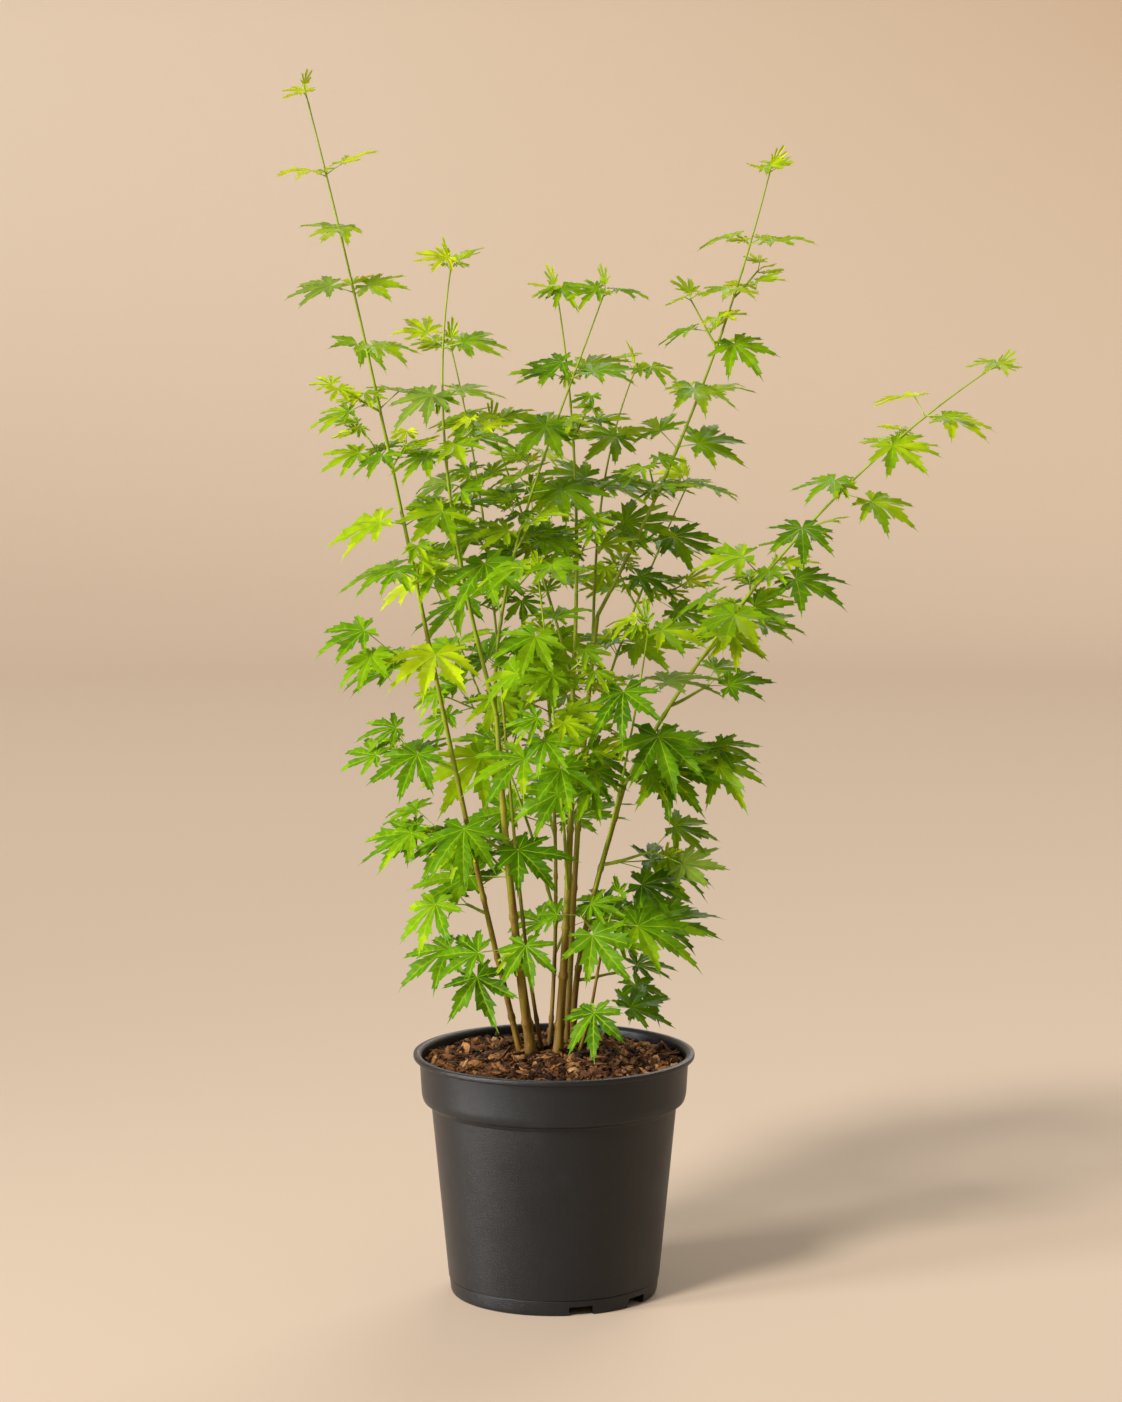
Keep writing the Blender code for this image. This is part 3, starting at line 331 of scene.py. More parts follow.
# Compost: crumbs and chips, their width and thickness against their size, and how high each lies. The
# bed's lumps are given by how fine they are, their height and a seed.
CRUMB_COUNT, CRUMB_SIZE = 3000, (1.3 * MM, 2.9 * MM)
CHIP_COUNT, CHIP_SIZE = 640, (3.0 * MM, 6.2 * MM)
CHIP_SHAPE, SPLINTER_SHAPE = ((0.40, 0.85), (0.25, 0.60)), ((0.22, 0.42), (0.16, 0.32))
SPLINTER_CHANCE = 0.45
CHIP_TILT, CHIP_ROLL = 0.5, 0.4
CHIP_LIFT = (-0.15, 0.42)
BED_RINGS, BED_SPOKES = 26, 96
BED_LUMPS = [(60, 2.2 * MM, 3.7), (170, 1.1 * MM, 9.1)]
COMPOST_SHADES = [
    ("compost_dark", (0.026, 0.011, 0.005)),
    ("compost_brown", (0.085, 0.034, 0.012)),
    ("compost_red", (0.185, 0.076, 0.024)),
    ("compost_tan", (0.320, 0.150, 0.052)),
    ("compost_straw", (0.460, 0.260, 0.115)),
]

# The finish of the pot, which has a fine groove over its foot.
POT_FINE_SEGMENTS = 160
POT_SHARP_ANGLE, COMPOST_SHARP_ANGLE = 32, 40
GROOVE_Z = 12.5 * MM
GROOVE_DEPTH = 0.5 * MM
POT_COLOUR = (0.0074, 0.0080, 0.0090)

# Studio. The lens takes 36 mm of the picture's height.
CAMERA_PLACE = (0.0056, -3.058, 0.8523)
CAMERA_TILT = 83
CAMERA_LENS = 100
CAMERA_FILM = 36
FLOOR_COLOUR = (0.545, 0.436, 0.336)
# The wall's colours are painted light: lighter than the floor on the left and about the floor's colour on the
# right, across X, taking over from the floor's colour as the cove rises.
WALL_PAINTED_LIGHT_LEFT, WALL_PAINTED_LIGHT_RIGHT = (0.770, 0.660, 0.540), (0.550, 0.430, 0.315)
PAINTED_WALL_LIGHT_SPAN, WALL_RISES = (-1.3, 1.3), (0.10, 1.30)
STUDIO_MIDDLE, STUDIO_RADIUS, STUDIO_COVE, STUDIO_HEIGHT = 1.5, 6.0, 1.6, 2.2
STUDIO_SEGMENTS, COVE_STEPS = 96, 15
SKY_COLOUR = (1.0, 0.985, 0.96)
SKY_STRENGTH = 0.41
# Lamps: where each stands, the point that it is aimed at and its settings. Two are far off and fall evenly.
# The softbox, for the pot's sheen, stands low and its beam is kept off the floor near it.
LAMPS = {
    "key": ("SUN", (-0.50, -0.62, 0.74), (0, 0, 0),
            {"energy": 2.7, "angle": math.radians(12), "color": (1.0, 0.955, 0.89)}),
    "back": ("SUN", (0.25, 0.80, 0.62), (0, 0, 0),
             {"energy": 1.1, "angle": math.radians(34), "color": (1.0, 0.97, 0.92)}),
    "softbox": ("AREA", (-3.45, -1.65, 0.62), (0, 0, 0.22),
                {"energy": 15, "size": 1.0, "spread": math.radians(40)}),
}


# -------- The plan of the plant: paths, shoots and leaves --------

Leaf = namedtuple("Leaf", "petiole forward normal radius")
Mass = namedtuple("Mass", "path twigs leaves tufted")


def clamp(value):
    """A value held between 0 and 1."""
    return max(0.0, min(1.0, value))


def mix(first, last, share):
    """From first to last by a share from 0 to 1."""
    return first + (last - first) * share


def arc(start, middle, end, t):
    """The point at t of a bend from start to end that leans towards middle."""
    return start * (1 - t) ** 2 + middle * (2 * t * (1 - t)) + end * t * t


def round_angles(count):
    """Even angles round a circle."""
    return [2 * math.pi * j / count for j in range(count)]


def compass(degrees):
    """The level direction at a compass angle."""
    return Vector((math.cos(math.radians(degrees)), math.sin(math.radians(degrees)), 0.0))


def square_to(axis, vector):
    """The direction square to an axis that is nearest to a vector."""
    return (vector - axis * vector.dot(axis)).normalized()


def spin(axis, degrees):
    """A turn about an axis."""
    return Matrix.Rotation(math.radians(degrees), 3, axis)


def ring(centre, side, across, radius, sides):
    """Even points round a centre, from side towards across."""
    return [centre + (side * math.cos(a) + across * math.sin(a)) * radius for a in round_angles(sides)]


def bowed_path(start, end, low, high):
    """A path that bows off its chord by low and high: a function that gives the point at fraction t."""
    low_handle = start.lerp(end, 1 / 3) + low
    high_handle = start.lerp(end, 2 / 3) + high

    def point(t):
        s = 1 - t
        return start * s ** 3 + low_handle * (3 * s * s * t) + high_handle * (3 * s * t * t) + end * t ** 3
    return point


@cache
def path_length(path):
    """The length of a path."""
    return sum((path((k + 1) / PATH_STEPS) - path(k / PATH_STEPS)).length for k in range(PATH_STEPS))


def tangent(path, t):
    """The direction in which a path runs at t."""
    return (path(t + TANGENT_STEP) - path(t - TANGENT_STEP)).normalized()


def tube_faces(rings, sides):
    """The faces of a tube with flat ends, whose rings of vertices follow one another."""
    faces = [tuple(reversed(range(sides)))]
    for k in range(rings - 1):
        for j in range(sides):
            a = k * sides + j
            b = k * sides + (j + 1) % sides
            faces.append((a, b, b + sides, a + sides))
    last = (rings - 1) * sides
    faces.append(tuple(range(last, last + sides)))
    return faces


def sweep(points, radii, sides, up=None):
    """A closed tube through points, with flat ends: vertices and faces."""
    verts = []
    side = up if up is not None else (points[1] - points[0]).normalized().orthogonal()
    for k, centre in enumerate(points):
        axis = (points[min(k + 1, len(points) - 1)] - points[max(k - 1, 0)]).normalized()
        side = square_to(axis, side)
        verts += ring(centre, side, axis.cross(side), radii[k], sides)
    return verts, tube_faces(len(points), sides)


def limb_radius(limb, path, t):
    """A limb's radius at t: an even taper, with a flare at the foot of a stem."""
    radius = mix(*limb.radii, t ** TAPER_POWER) * MM
    if limb.parent is None:
        rise = path(t).z - SOIL_TOP_Z
        radius *= 1 + (FOOT_FLARE - 1) * math.exp(-rise / FOOT_FLARE_HEIGHT)
    return radius


def clear_start(path, radius, parent_path, parent_radius, at):
    """The first fraction of a path whose whole end face is clear of its parent's bark or end."""
    samples = [(parent_path(k / CHAIN_STEPS), parent_radius(k / CHAIN_STEPS)) for k in range(CHAIN_STEPS + 1)]
    end = parent_path(1.0)
    end_axis = tangent(parent_path, 1.0)
    t = 0.0
    while t < CLEAR_UP_TO:
        axis = tangent(path, t)
        side = axis.orthogonal().normalized()
        face = ring(path(t), side, axis.cross(side), radius, CLEAR_POINTS)
        if at >= 1.0:
            room = min((p - end).dot(end_axis) for p in face)
        else:
            room = min(distance_to_chain(p, samples) for p in face)
        if room > GAP:
            return t
        t += CLEAR_STEP
    return t


def distance_to_chain(point, samples):
    """How far a point is from the bark of a limb given as a chain of centres and radii."""
    best = 1.0
    for (a, ra), (b, rb) in zip(samples, samples[1:]):
        along = b - a
        s = clamp((point - a).dot(along) / along.length_squared)
        best = min(best, (point - a.lerp(b, s)).length - mix(ra, rb, s))
    return best


def leaf_size_at(height):
    """The middle lobe's length on a leaf at a height."""
    table = LEAF_BY_HEIGHT
    if height <= table[0][0]:
        return table[0][1]
    for (z0, r0), (z1, r1) in zip(table, table[1:]):
        if height <= z1:
            return r0 + (r1 - r0) * (height - z0) / (z1 - z0)
    return table[-1][1]


def aim_leaf(root, out, axis, radius, rng):
    """A leaf whose stalk leaves root along out and whose blade turns to the light, or None if it cannot."""
    level = Vector((out.x, out.y, 0.0))
    if level.length < STEEP_STALK:
        level = Vector((axis.x, axis.y, 0.0)) + compass(rng.uniform(0, 360)) * STEEP_LEAN
    level.normalize()
    deep = clamp((CROWN_OPEN_Z - root.z) / CROWN_SHADE_DEPTH)
    stalk = radius * mix(*STALK_SHARE, deep) * rng.uniform(*STALK_SPREAD)
    bend = root + out * (stalk * STALK_BEND_AT)
    onward = (out * (1 - STALK_LEVELLING) + level * STALK_LEVELLING).normalized()
    end = bend + onward * (stalk * (1 - STALK_BEND_AT))
    scatter = Vector((rng.gauss(0, BLADE_SCATTER), rng.gauss(0, BLADE_SCATTER), 0.0))
    normal = (UP * mix(*UPWARD, deep) + LIGHT * mix(*FACING, deep) + level * mix(*OUTWARD, deep)
              + scatter).normalized()
    forward = spin(normal, rng.uniform(-BLADE_SWING, BLADE_SWING)) @ square_to(normal, level)
    if forward.dot((end - bend).normalized()) < STALK_TURN:
        return None
    petiole = [root, root.lerp(bend, 0.98), end] if radius >= LARGE_LEAF else [root, end]
    return Leaf(petiole, forward, normal, radius)


def leaf_solid(leaf, root_share=0.0, swell=0.0, stalk=PETIOLE_RADIUS):
    """A leaf and its stalk as one closed mesh. root_share leaves the root of the stalk off."""
    points = [leaf.petiole[0].lerp(leaf.petiole[1], root_share), *leaf.petiole[1:]][::-1]
    sideways = leaf.normal.cross(leaf.forward)
    centre = leaf.petiole[-1] + leaf.forward * (BLADE_CENTRE * leaf.radius)
    lobes = LOBES_LARGE if leaf.radius >= LARGE_LEAF else LOBES_SMALL
    half = leaf.radius * BLADE_THICKNESS_SHARE / 2 + swell
    stalk += swell
    verts, faces = sweep(points, [stalk] * len(points), 3, up=leaf.normal)
    faces.pop(0)
    for pin, angle in enumerate((90, -30, 210)):
        turn = math.radians(angle)
        verts[pin] = points[0] + (leaf.normal * math.sin(turn) + sideways * math.cos(turn)) * stalk

    def rim(angle, share):
        reach = leaf.radius * share
        flat = leaf.forward * math.cos(angle) + sideways * math.sin(angle)
        return centre + flat * (reach + swell) - leaf.normal * (BLADE_DROOP * reach * share)

    outline = []
    for k, (angle, share) in enumerate(lobes):
        outline.append(rim(math.radians(angle), share))
        if k + 1 < len(lobes):
            next_angle, next_share = lobes[k + 1]
            notch = NOTCH_SHARE * min(share, next_share) ** 0.5
            outline.append(rim(math.radians((angle + next_angle) / 2), notch))
    first = len(verts)
    last = first + len(outline) - 1
    top, bottom = last + 1, last + 2
    verts += [*outline, centre + leaf.normal * half, centre - leaf.normal * half]
    for a in range(first, last):
        faces += [(top, a, a + 1), (bottom, a + 1, a)]
    faces += [(top, last, 1), (top, 1, 0), (top, 0, 2), (top, 2, first)]
    faces += [(bottom, 1, last), (bottom, first, 2), (bottom, 2, 1)]
    return verts, faces


def cad_solid(name):
    """The vertices and faces of a CAD node."""
    mesh = frame["nodes"][name].data
    return [v.co.copy() for v in mesh.vertices], [tuple(face.vertices) for face in mesh.polygons]


class Space:
    """What has been placed, so that nothing grows through anything else."""

    def __init__(self):
        self.items = []

    @staticmethod
    def measure(solid):
        """A search tree for a solid, with the ball round it."""
        verts, faces = solid
        centre = sum(verts, Vector()) / len(verts)
        reach = max((v - centre).length for v in verts)
        return BVHTree.FromPolygons(verts, faces), centre, reach

    @staticmethod
    def meet(a, b):
        """Whether two measured solids touch."""
        if (a[1] - b[1]).length > a[2] + b[2]:
            return False
        return bool(a[0].overlap(b[0]))

    def add(self, owner, whole, blade=None):
        """Keep a solid, and its part away from its root."""
        self.items.append((owner, self.measure(whole), self.measure(blade) if blade else None))

    def add_leaf(self, owner, leaf):
        """Keep a leaf."""
        self.add(owner, leaf_solid(leaf), leaf_solid(leaf, ROOT_SHARE))

    def blocked(self, owner, whole, away):
        """Whether a candidate would touch another solid, other than at its own root."""
        whole = self.measure(whole)
        away = self.measure(away)
        for other, body, blade in self.items:
            if other != owner:
                if self.meet(whole, body):
                    return True
            elif self.meet(away, body) or (blade and self.meet(whole, blade)):
                return True
        return False


def tube_between(path, t0, t1, radius, sides, step):
    """A tube round a path from t0 to t1: vertices and faces."""
    length = path_length(path) * (t1 - t0)
    count = max(2, int(round(length / step)) + 1)
    ts = [t0 + (t1 - t0) * k / (count - 1) for k in range(count)]
    return sweep([path(t) for t in ts], [radius(t) for t in ts], sides)


def side_of(axis):
    """The direction across a shoot that is nearest to straight up."""
    side = UP - axis * UP.dot(axis)
    return side.normalized() if side.length > 0.2 else axis.orthogonal().normalized()


def try_leaf(space, owner, root, axis, turn, climb, radius, rng):
    """Place one leaf, with small changes of aim until it is clear, or give it up."""
    side = side_of(axis)
    for attempt in range(TRIES):
        spread = FIRST_AIM_SPREAD + AIM_SPREAD_STEP * attempt
        radial = spin(axis, turn + rng.uniform(-spread, spread)) @ side
        rise = math.radians(climb + rng.uniform(-CLIMB_SPREAD, CLIMB_SPREAD))
        out = (radial * math.cos(rise) + axis * math.sin(rise)).normalized()
        size = radius * rng.uniform(*LEAF_SPREAD) * (1 - SHRINK_STEP * attempt)
        leaf = aim_leaf(root, out, axis, size, rng)
        if leaf and not space.blocked(owner, leaf_solid(leaf, 0.0, CLEAR_SWELL),
                                      leaf_solid(leaf, ROOT_SHARE, CLEAR_SWELL)):
            space.add_leaf(owner, leaf)
            return leaf
    return None


def grow_shoot(space, owner, path, first, pairs, leaf_at, rng, turn, chance):
    """Leaves in crossed pairs up a shoot; by chance, a twiglet takes the place of a leaf."""
    twigs, leaves = [], []
    for k in range(pairs):
        share = (k + PAIR_AT) / pairs if k + 1 < pairs else LAST_PAIR_AT
        t = first + (1 - first) * share
        axis = tangent(path, min(t, 0.99))
        size = leaf_at(path(t).z) * (1 - (1 - TIP_LEAF_SHARE) * share ** 3)
        for half in (0, 1):
            aim = turn + 90 * k + 180 * half
            root = path(t) - axis * (PAIR_OFFSET * half)
            if chance and root.z < TWIGLET_TOP_Z and k < pairs - 2 and rng.random() < chance:
                twig, more = grow_twiglet(space, owner, root, axis, aim, size, rng)
                if twig:
                    twigs.append(twig)
                    leaves += more
                    continue
            climb = LEAF_CLIMB if k + 1 < pairs else LAST_LEAF_CLIMB
            leaf = try_leaf(space, owner, root, axis, aim, climb, size, rng)
            if leaf:
                leaves.append(leaf)
    if chance:
        leaves.append(tip_leaf(space, owner, path, size * TIP_TUFT_SHARE, rng))
    return twigs, leaves


def tip_leaf(space, owner, path, radius, rng):
    """The youngest leaf, half folded, which stands on with the shoot."""
    lean = compass(rng.uniform(0, 360)) * TIP_TUFT_LEAN + LIGHT * 0.15
    axis = (tangent(path, 0.99) + lean).normalized()
    normal = square_to(axis, spin(axis, rng.uniform(-TIP_TUFT_TURN, TIP_TUFT_TURN)) @ LIGHT)
    root = path(1.0) - axis * TIP_TUFT_ROOT
    leaf = Leaf([root, root + axis * (radius * TIP_TUFT_STALK)], axis, normal, radius)
    space.add_leaf(owner, leaf)
    return leaf


def twiglet_tube(path, from_share=0.0, swell=0.0):
    """A twiglet's straight tube."""
    return tube_between(path, from_share, 1.0, lambda t: TWIGLET_RADIUS + swell, TWIG_SIDES, TWIGLET_LENGTH)


def grow_twiglet(space, owner, root, axis, turn, size, rng):
    """A short side twig with two small pairs of leaves: its path and the leaves, or None and no leaf."""
    radial = spin(axis, turn + rng.uniform(-TWIGLET_TURN, TWIGLET_TURN)) @ side_of(axis)
    out = (radial * TWIGLET_OUT + axis * TWIGLET_ON).normalized()
    length = TWIGLET_LENGTH * rng.uniform(*TWIGLET_SPREAD)
    end = root + out * length + UP * (TWIGLET_RISE * length)
    path = bowed_path(root, end, -UP * (TWIGLET_BOW * length), Vector())
    whole = twiglet_tube(path, 0.0, CLEAR_SWELL)
    away = twiglet_tube(path, ROOT_SHARE, CLEAR_SWELL)
    if space.blocked(owner, whole, away):
        return None, []
    space.add(owner, twiglet_tube(path))
    size *= TWIGLET_LEAF_SHARE
    _, leaves = grow_shoot(space, owner, path, TWIGLET_BARE, TWIGLET_PAIRS, lambda z: size, rng, turn, 0.0)
    return path, leaves


def lay_limbs():
    """The path and the radius of every limb."""
    paths, radii = {}, {}
    for name, limb in LIMBS.items():
        start = paths[limb.parent](limb.start) if limb.parent else Vector((*limb.start, SOIL_TOP_Z + GAP))
        path = bowed_path(start, Vector(limb.tip), Vector(limb.low), Vector(limb.high))
        paths[name] = path
        radii[name] = lambda t, limb=limb, path=path: limb_radius(limb, path, t)
    return paths, radii


def lay_shoots(paths, radii):
    """The axis of every leafy shoot: its name, path, first fraction, pairs of leaves and leaf size."""
    shoots = []
    for name, limb in LIMBS.items():
        if limb.bare < 1.0:
            length = path_length(paths[name]) * (1 - limb.bare)
            first = limb.bare + GAP / path_length(paths[name])
            pairs = max(3, int(round(length / LEAF_STEP)))
            chance = TWIGLET_CHANCE_ON.get(name, TWIGLET_CHANCE)
            shoots.append((name + "_leaves", paths[name], first, pairs, leaf_size_at, chance))
    for name, side in SIDES.items():
        start = paths[side.parent](side.at)
        climb = math.radians(side.climb)
        out = compass(side.compass) * math.cos(climb) + UP * math.sin(climb)
        end = start + out * side.length
        path = bowed_path(start, end, -UP * (SIDE_SAG * side.length), UP * (SIDE_LIFT * side.length))
        first = clear_start(path, TWIG_ROOT_RADIUS, paths[side.parent], radii[side.parent], side.at)
        shoots.append((name, path, first, side.pairs, lambda z, size=side.leaf: size, 0.0))
    return shoots


def shoot_tube(path, first, chance):
    """The tapering axis of a leafy shoot."""
    step = LEAF_STEP if chance else SIDE_TWIG_STEP

    def radius(t):
        return TWIG_ROOT_RADIUS + (TWIG_TIP_RADIUS - TWIG_ROOT_RADIUS) * (t - first) / (1 - first)
    return tube_between(path, first, 1.0, radius, TWIG_SIDES, step)


def plan_plant():
    """The limbs' paths and radii, the space that is taken, and each leafy shoot's twigs and leaves."""
    space = Space()
    for name in ("pot", "soil", *LIMBS):
        space.add(name, cad_solid(name))
    paths, radii = lay_limbs()
    shoots = lay_shoots(paths, radii)
    for name, path, first, pairs, leaf_at, chance in shoots:
        space.add(name, shoot_tube(path, first, chance))
    masses = {}
    for name, path, first, pairs, leaf_at, chance in shoots:
        rng = random.Random(name)
        turn = rng.uniform(*FIRST_PAIR_TURN)
        twigs, leaves = grow_shoot(space, name, path, first, pairs, leaf_at, rng, turn, chance)
        masses[name] = Mass(path, twigs, leaves, chance > 0)
    return paths, radii, space, masses


def turned(profile, segments):
    """A profile of (radius, z) turned round Z, where radius 0 is a pole: vertices and faces."""
    verts, rings = [], []
    for radius, z in profile:
        if radius == 0:
            rings.append([len(verts)])
            verts.append(Vector((0, 0, z)))
        else:
            rings.append(list(range(len(verts), len(verts) + segments)))
            verts += [Vector((radius * math.cos(a), radius * math.sin(a), z)) for a in round_angles(segments)]
    faces = []
    for a, b in zip(rings, rings[1:]):
        for j in range(segments):
            k = (j + 1) % segments
            quad = [a[j % len(a)], a[k % len(a)], b[k % len(b)], b[j % len(b)]]
            faces.append(tuple(v for i, v in enumerate(quad) if v not in quad[:i]))
    return verts, faces


# -------- Meshes and materials --------

class Heap:
    """The faces of many small things of one kind, gathered for one mesh."""

    def __init__(self):
        self.verts, self.faces, self.slots, self.veins = [], [], [], []

    def add(self, verts, faces, slot=0, veins=None):
        """Add a mesh whose faces share one material slot, or bring a list of their own."""
        base = len(self.verts)
        self.verts += verts
        self.veins += veins or [0.0] * len(verts)
        self.faces += [tuple(base + i for i in face) for face in faces]
        self.slots += slot if isinstance(slot, list) else [slot] * len(faces)

    def piece(self, name, materials, sharp=None):
        """One object from what was gathered."""
        mesh = bpy.data.meshes.new(name)
        mesh.from_pydata([tuple(v) for v in self.verts], [], self.faces)
        for material in materials:
            mesh.materials.append(material)
        mesh.polygons.foreach_set("material_index", self.slots)
        if any(self.veins):
            mesh.attributes.new("vein", "FLOAT", "POINT").data.foreach_set("value", self.veins)
        mesh.shade_smooth()
        if sharp:
            mesh.set_sharp_from_angle(angle=math.radians(sharp))
        mesh.update()
        piece = bpy.data.objects.new(name, mesh)
        bpy.context.scene.collection.objects.link(piece)
        return piece


class Look:
    """A Principled material, with short ways to add nodes to it."""

    def __init__(self, name, colour, roughness, specular):
        self.material = bpy.data.materials.new(name)
        self.material.use_nodes = True
        self.material.diffuse_color = (*colour, 1.0)
        self.tree = self.material.node_tree
        self.shader = self.tree.nodes["Principled BSDF"]
        self.feed(self.shader, {"Base Color": (*colour, 1.0), "Roughness": roughness,
                                "Specular IOR Level": specular})

    def feed(self, node, inputs):
        """Give a node's inputs their values, or link them to the outputs of other nodes."""
        for name, value in inputs.items():
            if isinstance(value, bpy.types.NodeSocket):
                self.tree.links.new(value, node.inputs[name])
            else:
                node.inputs[name].default_value = value

    def node(self, kind, output, **inputs):
        """The output of a new node whose inputs are named with _ for a space."""
        node = self.tree.nodes.new("ShaderNode" + kind)
        self.feed(node, {name.replace("_", " "): value for name, value in inputs.items()})
        return node.outputs[output]

    def noise(self, scale, stretch=(1, 1, 1), detail=4.0, roughness=0.6):
        """Noise in the object's own coordinates."""
        place = self.node("Mapping", "Vector", Vector=self.node("TexCoord", "Object"), Scale=stretch)
        return self.node("TexNoise", "Fac", Vector=place, Scale=scale, Detail=detail, Roughness=roughness)

    def axis(self, name, low, high, start=0.0, end=1.0):
        """Where a point lies between low and high on an axis, as a number from start to end."""
        place = self.node("SeparateXYZ", name, Vector=self.node("TexCoord", "Object"))
        return self.node("MapRange", "Result", Value=place, From_Min=low, From_Max=high,
                         To_Min=start, To_Max=end)

    def ramp(self, value, *stops):
        """A colour ramp on a value; a stop is (position, colour)."""
        ramp = self.tree.nodes.new("ShaderNodeValToRGB")
        elements = ramp.color_ramp.elements
        while len(elements) < len(stops):
            elements.new(0.5)
        for element, (position, colour) in zip(elements, stops):
            element.position = position
            element.color = (*colour, 1.0)
        self.feed(ramp, {"Fac": value})
        return ramp.outputs["Color"]

    def blend(self, share, a, b):
        """Between colours a and b; share is from 0 to 1."""
        mixed = self.tree.nodes.new("ShaderNodeMix")
        mixed.data_type = "RGBA"
        self.feed(mixed, {"Factor": share, "A": a, "B": b})
        return mixed.outputs["Result"]

    def paint(self, colour):
        """Feed the shader its base colour."""
        self.feed(self.shader, {"Base Color": colour})

    def bump(self, height, strength, distance):
        """Feed the shader bump from a height."""
        self.feed(self.shader, {"Normal": self.node("Bump", "Normal", Height=height, Strength=strength,
                                                    Distance=distance)})


def scaled(colour, factor):
    """A lighter or a darker colour."""
    return tuple(min(1.0, c * factor) for c in colour)


def leaf_material(name, colour, roughness=0.38):
    """A satin blade with a patchy tone that lets some light through, yellower than it reflects."""
    look = Look(name, colour, roughness, specular=0.08)
    red, green, blue = colour
    patches = look.ramp(look.noise(75, detail=3), (0.30, scaled(colour, 0.74)), (0.52, colour),
                        (0.72, (red * 1.34, green * 1.20, blue)))
    vein = look.tree.nodes.new("ShaderNodeAttribute")
    vein.attribute_name = "vein"
    line = look.ramp(vein.outputs["Fac"], (0.72, (0, 0, 0)), (1.0, (VEIN_STRENGTH,) * 3))
    look.paint(look.blend(line, patches, (*RIB_COLOUR, 1.0)))
    look.bump(look.noise(900), strength=0.25, distance=0.0002)
    through = look.node("BsdfTranslucent", "BSDF", Color=(
        red * 1.65 + 0.02, min(1.0, green * 1.5 + 0.03), blue * 0.6, 1.0))
    both = look.tree.nodes.new("ShaderNodeMixShader")
    both.inputs["Fac"].default_value = LEAF_LETS_THROUGH
    look.tree.links.new(look.shader.outputs["BSDF"], both.inputs[1])
    look.tree.links.new(through, both.inputs[2])
    look.feed(look.tree.nodes["Material Output"], {"Surface": both.outputs["Shader"]})
    return look.material


def bark_material(name, brown, olive, green, roughness, rise=(-1.0, 0.0)):
    """Smooth young bark: long streaks, fine cracks and pale specks, greener from rise's foot to its top."""
    look = Look(name, olive, roughness, specular=0.16)
    streaks = look.noise(170, stretch=(1, 1, 0.10), detail=5)
    blend = look.tree.nodes.new("ShaderNodeMath")
    look.tree.links.new(streaks, blend.inputs[0])
    look.tree.links.new(look.axis("Z", *rise, -0.28, 0.22), blend.inputs[1])
    skin = look.ramp(blend.outputs["Value"], (0.16, scaled(brown, 0.55)), (0.32, brown), (0.52, olive),
                     (0.74, green))
    specks = look.ramp(look.noise(420, stretch=(1, 1, 0.8), detail=2), (0.66, (0, 0, 0)), (0.74, (1, 1, 1)))
    pale = (min(1, olive[0] * 1.5), min(1, olive[1] * 1.45), olive[2] * 1.7, 1)
    look.paint(look.blend(specks, skin, pale))
    look.bump(streaks, strength=0.45, distance=0.0006)
    return look.material


def compost_material(name, colour):
    """Matt bark, mottled and rough."""
    look = Look(name, colour, roughness=0.92, specular=0.2)
    texture = look.noise(700, detail=5)
    look.paint(look.ramp(texture, (0.30, scaled(colour, 0.45)), (0.55, colour), (0.75, scaled(colour, 1.5))))
    look.bump(texture, strength=0.8, distance=0.0008)
    return look.material


def pot_material():
    """Matt charcoal plastic with a moulded leathery grain and a few dusty scuffs."""
    look = Look("pot_plastic_fine", POT_COLOUR, roughness=0.42, specular=0.33)
    cloud = look.noise(26, detail=5)
    look.paint(look.ramp(cloud, (0.25, scaled(POT_COLOUR, 0.85)), (0.60, POT_COLOUR),
                         (0.80, scaled(POT_COLOUR, 1.5))))
    look.feed(look.shader, {"Roughness": look.ramp(cloud, (0.3, (0.30,) * 3), (0.7, (0.41,) * 3))})
    look.bump(look.noise(1350, roughness=0.7), strength=0.6, distance=0.0005)
    return look.material


def studio_material():
    """A pale plain ground; the wall over it turns from light to deeper across the view, which is painted
    light falling from the left.
    """
    look = Look("studio_floor", FLOOR_COLOUR, roughness=0.9, specular=0.1)
    # Painted light on the wall: lighter on the left, deeper on the right.
    wall = look.ramp(look.axis("X", *PAINTED_WALL_LIGHT_SPAN), (0.0, WALL_PAINTED_LIGHT_LEFT), (1.0, WALL_PAINTED_LIGHT_RIGHT))
    look.paint(look.blend(look.axis("Z", *WALL_RISES), (*FLOOR_COLOUR, 1.0), wall))
    return look.material


# -------- Leaves --------

def lobe_half_width(s, sinus, width, room):
    """The half width of a lobe at share s of its length: web first, then clear of its neighbour's room."""
    if s <= sinus:
        return s * room
    parted = min(1.0, (s - sinus) / GAP_REACH)
    if s < LOBE_PEAK:
        u = s / LOBE_PEAK
        shape = width * (0.40 + 0.60 * u * u * (3 - 2 * u))
    else:
        u = (s - LOBE_PEAK) / (1 - LOBE_PEAK)
        shape = width * (0.99 * (1 - u) ** 1.45 + 0.01)
    return min(shape, s * room * (1 - GAP_SHARE * parted))


def lobe_rows(teeth, sinus):
    """Rows across a lobe as (share of its length, tooth): the web, a tooth and a notch by turns, the tip."""
    rows = [(sinus * 0.5, 0.0), (sinus, 0.0)]
    pitch = (TOOTHED_TO - sinus) / teeth
    for j in range(teeth):
        size = (1.0 if (teeth - j) % 2 else MINOR_TOOTH) * min(1.0, 0.25 + 5 * pitch * (j + 0.5))
        rows.append((sinus + pitch * (j + 0.52), size))
        rows.append((sinus + pitch * (j + 1.0), -size))
    rows += [((1 + TOOTHED_TO) / 2, 0.0), (1.0, 0.0)]
    return rows


